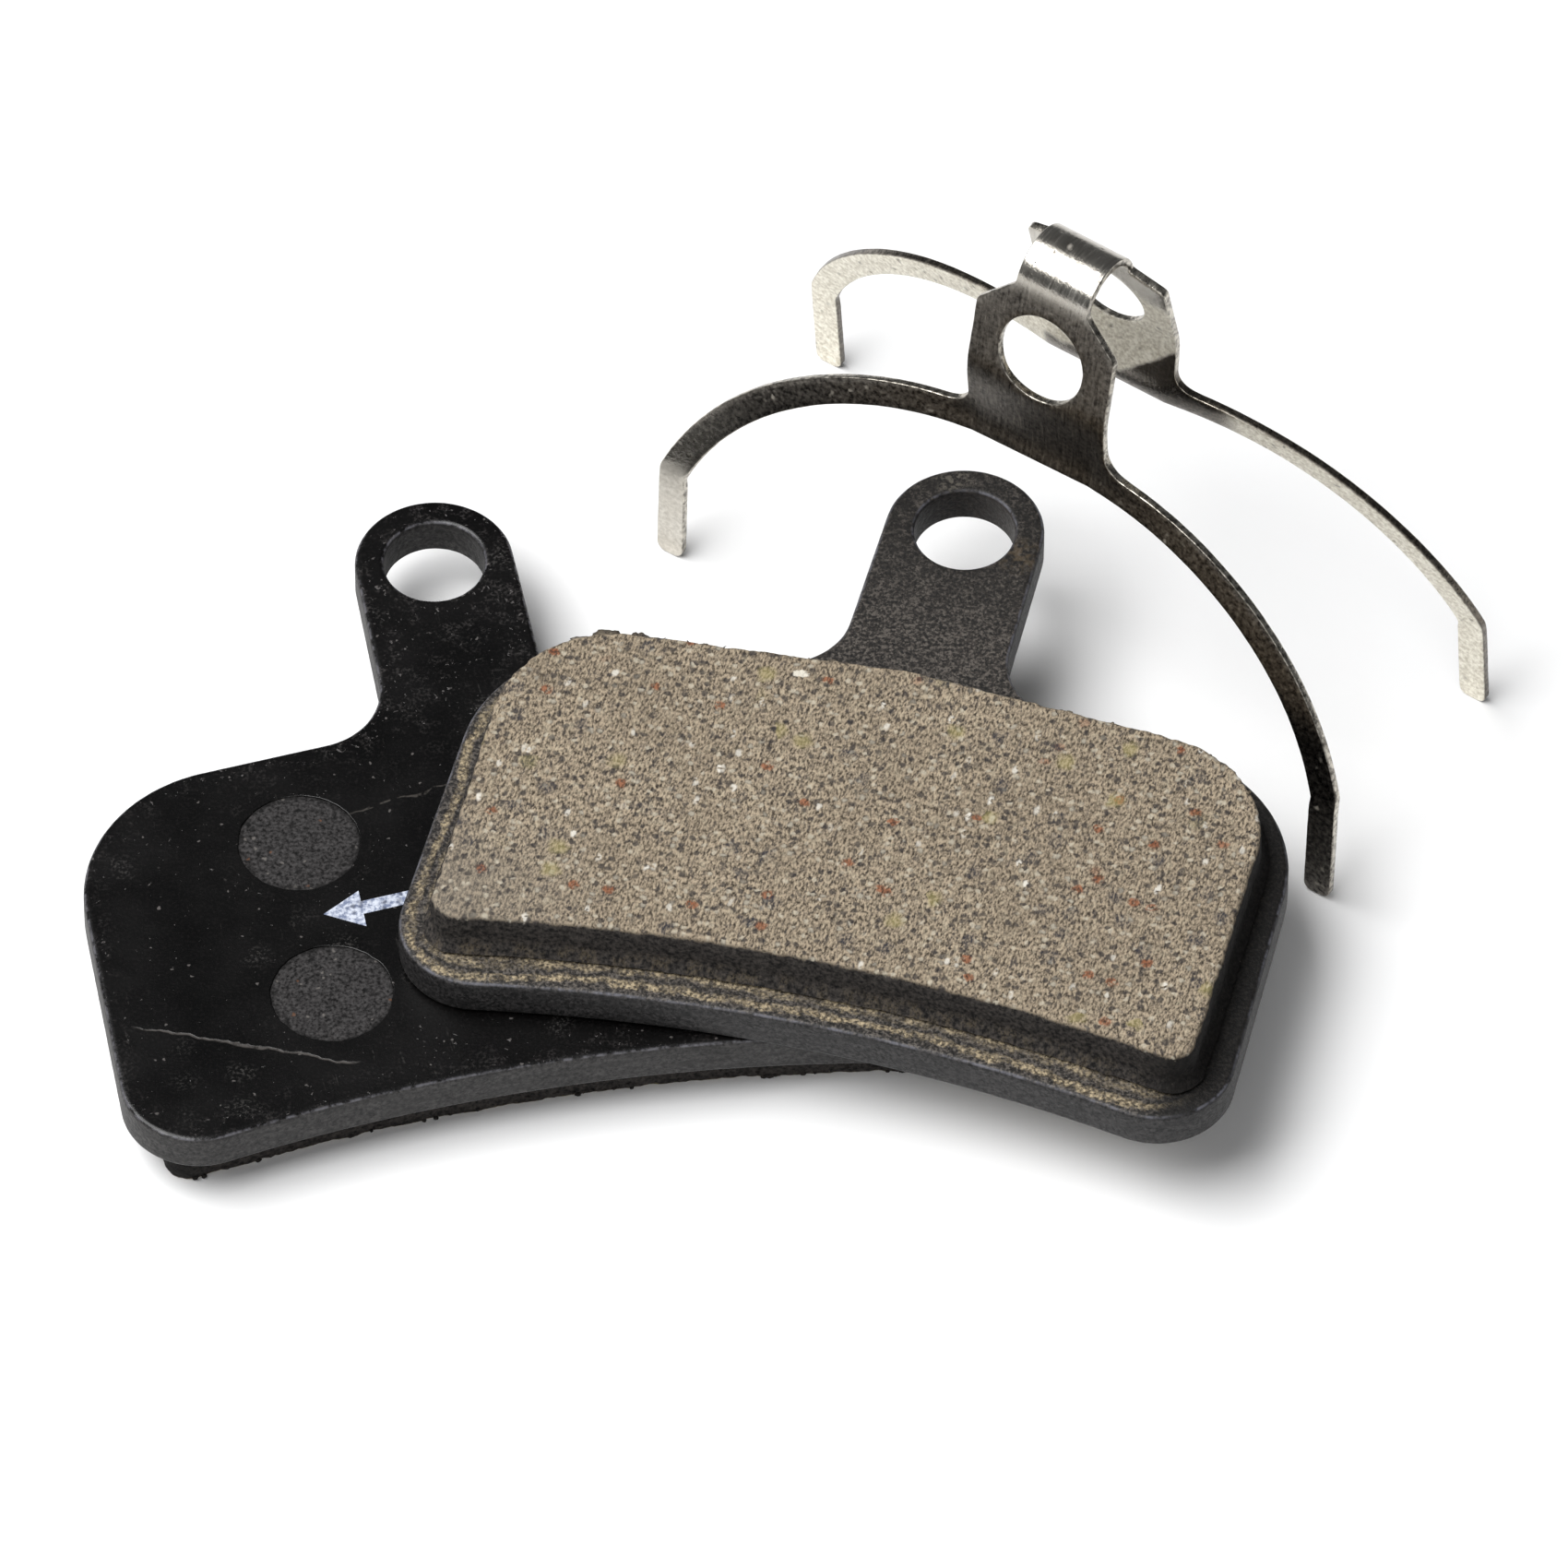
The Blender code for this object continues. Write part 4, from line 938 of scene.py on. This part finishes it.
def sheet_point(which, u, v):
    s = SIDE[which]
    fade = max(0.0, min(1.0, (BV[which] - v) / ROLL_FADE))
    roll = math.radians(ROLL[which]) * fade
    ur = u * math.cos(roll) - (v - ROLL_V) * math.sin(roll)
    vr = u * math.sin(roll) + (v - ROLL_V) * math.cos(roll) + ROLL_V
    t, l = math.radians(TIP_LEAN), math.radians(LEAN[which])
    k = 0.5      # the tips' bend is an easy curve
    a = vr - TIP_V
    vu = 0.5 * (a + math.sqrt(a * a + 0.25 * k * k)) if abs(a) < 3 else max(a, 0.0)
    vt = vr - vu
    y = s * (FOOT_Y - vt * math.sin(t) - vu * math.sin(l))
    z = vt * math.cos(t) + vu * math.cos(l)
    along = max(0.0, min(1.0, (abs(ur) - 3.0) / (ARM_END_U - 3.0)))
    ramp = max(0.0, min(1.0, (TUCK_V - vr) / TUCK_H))
    ramp = ramp * ramp * (3 - 2 * ramp)
    foot = max(0.0, min(1.0, vr / 5.0))
    y += s * (BELLY * math.sin(math.pi * along) - TUCK * (1 - along)) * ramp * foot
    return Vector((ur, y, z))


def mid_surface(u, w):
    if w <= BV["front"]:
        return sheet_point("front", u, w)
    if w >= BV["front"] + BOW_L:
        return sheet_point("rear", u, W_ALL - w)
    a = A0 + (A1 - A0) * (w - BV["front"]) / BOW_L
    return Vector((u, BOW_C.x + BOW_R * math.cos(a), BOW_C.y + BOW_R * math.sin(a)))


def half_outline(which, sx):
    """One side of one half, from the middle of its lower edge round the leg to the bow: (u, v)."""
    r_in, r_out = ARM_R - LEG_W / 2, ARM_R + LEG_W / 2
    a1 = math.asin((TIP_V - ARM_V) / ARM_R)
    end_u = ARM_U + ARM_R * math.cos(a1)
    end_v = -sx * end_u * math.tan(math.radians(ROLL[which]))
    drop = TIP_V - end_v
    pts = [(ARM_U * i / 10, ARM_V + r_in) for i in range(11)]
    for i in range(1, 61):
        a = math.pi / 2 + (a1 - math.pi / 2) * i / 60
        pts.append((ARM_U + r_in * math.cos(a), ARM_V + r_in * math.sin(a)))

    def side(across, down):
        r = across * LEG_W
        tilt = a1 * (1 - min(1.0, down / 1.2))
        return end_u + r * math.cos(tilt), TIP_V - down + r * math.sin(tilt)
    c = 0.42
    pts += [side(-0.5, drop * i / 24) for i in range(1, 24) if drop * i / 24 < drop - c]
    for i in range(7):
        a = math.pi + math.pi / 2 * i / 6
        pts.append((end_u - LEG_W / 2 + c + c * math.cos(a), end_v + c + c * math.sin(a)))
    for i in range(7):
        a = 1.5 * math.pi + math.pi / 2 * i / 6
        pts.append((end_u + LEG_W / 2 - c + c * math.cos(a), end_v + c + c * math.sin(a)))
    pts += [side(0.5, drop * i / 24) for i in range(23, 0, -1) if drop * i / 24 < drop - c]
    root = 4.70
    ar = math.acos((root - ARM_U) / r_out)
    for i in range(61):
        a = a1 + (ar - a1) * i / 60
        pts.append((ARM_U + r_out * math.cos(a), ARM_V + r_out * math.sin(a)))
    top = ARM_V + math.sqrt(r_out ** 2 - (root - ARM_U) ** 2)
    r = 1.05
    pts += [(CHEEK_X + r - r * math.sin(math.pi / 2 * i / 12), top + 0.03 + r - r * math.cos(math.pi / 2 * i / 12)) for i in range(1, 13)]
    vb = BV[which]
    shoulder = SHOULDER_V[which]
    pts += fillet((CHEEK_X, 17), (0, 1), (CHEEK_X, shoulder), (BOW_X - CHEEK_X, vb - 0.05 - shoulder), 0.35, 8)
    last = pts[-1]
    f = fillet(last, (BOW_X - last[0], vb - 0.10 - last[1]), (BOW_X, vb), (0, 1), 0.5 if which == "front" else 0.15, 8)
    pts += [p for p in f if p[1] > last[1] and p[1] < vb]
    pts.append((BOW_X, vb))
    return [(sx * u, v) for u, v in pts]


STEEL = steel_material("brushed_spring_steel", BV["front"], W_ALL)


def spring():
    fr, fl = half_outline("front", 1), half_outline("front", -1)
    rr, rl = half_outline("rear", 1), half_outline("rear", -1)
    flip = lambda pts: [(u, W_ALL - v) for u, v in pts]
    outline = fr + flip(rr)[::-1][:-1] + flip(rl) + fl[::-1][:-1]
    outline = even(outline, 0.16)
    eyes = [even(circle(0, EYE_V, EYE_R, 120), 0.14), even(circle(0, W_ALL - EYE_V, EYE_R, 120), 0.14)]
    loops = [turned(outline, True)] + [turned(e, False) for e in eyes]
    normals = [inward(p) for p in loops]
    r, h = 0.075, SHEET / 2
    prof = []
    for i in range(4):
        a = math.pi / 2 * i / 3
        prof.append((r * (1 - math.sin(a)), -h + r * (1 - math.cos(a)), math.sin(a)))
    prof += [(0.004, 0.0, 1.0)]
    for i in range(3, -1, -1):
        a = math.pi / 2 * i / 3
        prof.append((r * (1 - math.sin(a)), h - r * (1 - math.cos(a)), math.sin(a)))
    flat, faces, wallness, off = [], [], [], []
    rings = []
    for d, z, wl in prof:
        ring = []
        for p, n in zip(loops, normals):
            rough = np.array([0.010 * grain(x, y, z * 3, 1.8, 3.0) + 0.006 * grain(x, y, z * 5, 5.0, 9.0) for x, y in p])
            q = p + n * (d + rough)[:, None]
            ring.append((len(flat), q))
            flat += [tuple(c) for c in q]
            wallness += [wl] * len(q)
            off += [z] * len(q)
        rings.append(ring)
    for k in range(len(prof) - 1):
        for li, p in enumerate(loops):
            a, b, n = rings[k][li][0], rings[k + 1][li][0], len(p)
            faces += [(a + i, a + (i + 1) % n, b + (i + 1) % n, b + i) for i in range(n)]
    for top in (False, True):
        ring = rings[-1 if top else 0]
        ls = [q for _, q in ring]
        pts, tris = triangulated(ls, 0.26, 41)
        nb = sum(len(q) for q in ls)
        index = [a + i for a, q in ring for i in range(len(q))]
        for c in pts[nb:]:
            index.append(len(flat))
            flat.append(tuple(c))
            wallness.append(0.0)
            off.append(h if top else -h)
        for t in tris:
            t = [index[i] for i in t]
            (ax, ay), (bx, by), (cx, cy) = flat[t[0]], flat[t[1]], flat[t[2]]
            up = (bx - ax) * (cy - ay) - (by - ay) * (cx - ax) > 0
            faces.append(tuple(t) if up == top else tuple(reversed(t)))
    verts = []
    e = 0.02
    for (u, w), o in zip(flat, off):
        p = mid_surface(u, w)
        du = mid_surface(u + e, w) - mid_surface(u - e, w)
        dw = mid_surface(u, w + e) - mid_surface(u, w - e)
        n = du.cross(dw).normalized()
        q = p + n * o
        q.z = max(q.z, 0.0)
        verts.append(SPRING_M @ Vector([c * MM for c in q]))
    o = mesh_object("spring_skin", verts, faces, [STEEL],
                    attrs={"blank": np.array([(u, w, z) for (u, w), z in zip(flat, off)]), "wall": np.array(wallness)}, smooth=50)
    nodes = ["spring_bow"] + [f"spring_{a}_{b}" for a in ("front", "rear") for b in ("cheek", "left_leg", "right_leg")]
    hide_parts(*nodes)
    c = SPRING_M @ Vector((0, BOW_C.x * MM, BOW_C.y * MM))
    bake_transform(o)
    return o


spring()

# ------------------------------------------------------------------ floor, light, camera
bpy.ops.mesh.primitive_plane_add(size=2.4, location=(0, 0, 0))
floor = bpy.context.object
floor.name = "studio_floor"
floor.data.materials.append(floor_material("pale_floor"))


def area_light(name, at, to, size, power, colour=(1, 1, 1), size_y=None):
    l = bpy.data.lights.new(name, "AREA")
    l.shape = "RECTANGLE" if size_y else "SQUARE"
    l.size = size
    if size_y:
        l.size_y = size_y
    l.energy = power
    l.color = colour
    o = bpy.data.objects.new(name, l)
    o.location = at
    o.rotation_euler = (Vector(to) - Vector(at)).to_track_quat("-Z", "Y").to_euler()
    bpy.context.scene.collection.objects.link(o)
    return o


area_light("key", (-0.23, -0.03, 0.44), (0, 0, 0.005), 0.50, 3.9, size_y=0.36)
area_light("fill_front", (0.10, -0.62, 0.42), (0, 0, 0), 0.5, 1.25)

world = bpy.data.worlds.new("studio")
bpy.context.scene.world = world
world.use_nodes = True
world.node_tree.nodes["Background"].inputs[0].default_value = (0.95, 0.97, 1.0, 1)
world.node_tree.nodes["Background"].inputs[1].default_value = 0.11

EL, DIST = math.radians(50.431), 0.80457
target = Vector((-0.0003259, -0.0007531, 0))
cam_data = bpy.data.cameras.new("camera")
cam_data.sensor_width = 36.0
cam_data.lens = 36.0 * 20000 / 1700
cam_data.clip_start, cam_data.clip_end = 0.05, 10
cam = bpy.data.objects.new("camera", cam_data)
back = Vector((0, -math.cos(EL), math.sin(EL)))
cam.location = target + back * DIST
cam.rotation_mode = "QUATERNION"
cam.rotation_quaternion = (-back).to_track_quat("-Z", "Y")
bpy.context.scene.collection.objects.link(cam)
bpy.context.scene.camera = cam

vs = bpy.context.scene.view_settings
vs.view_transform = "Standard"
vs.look = "None"
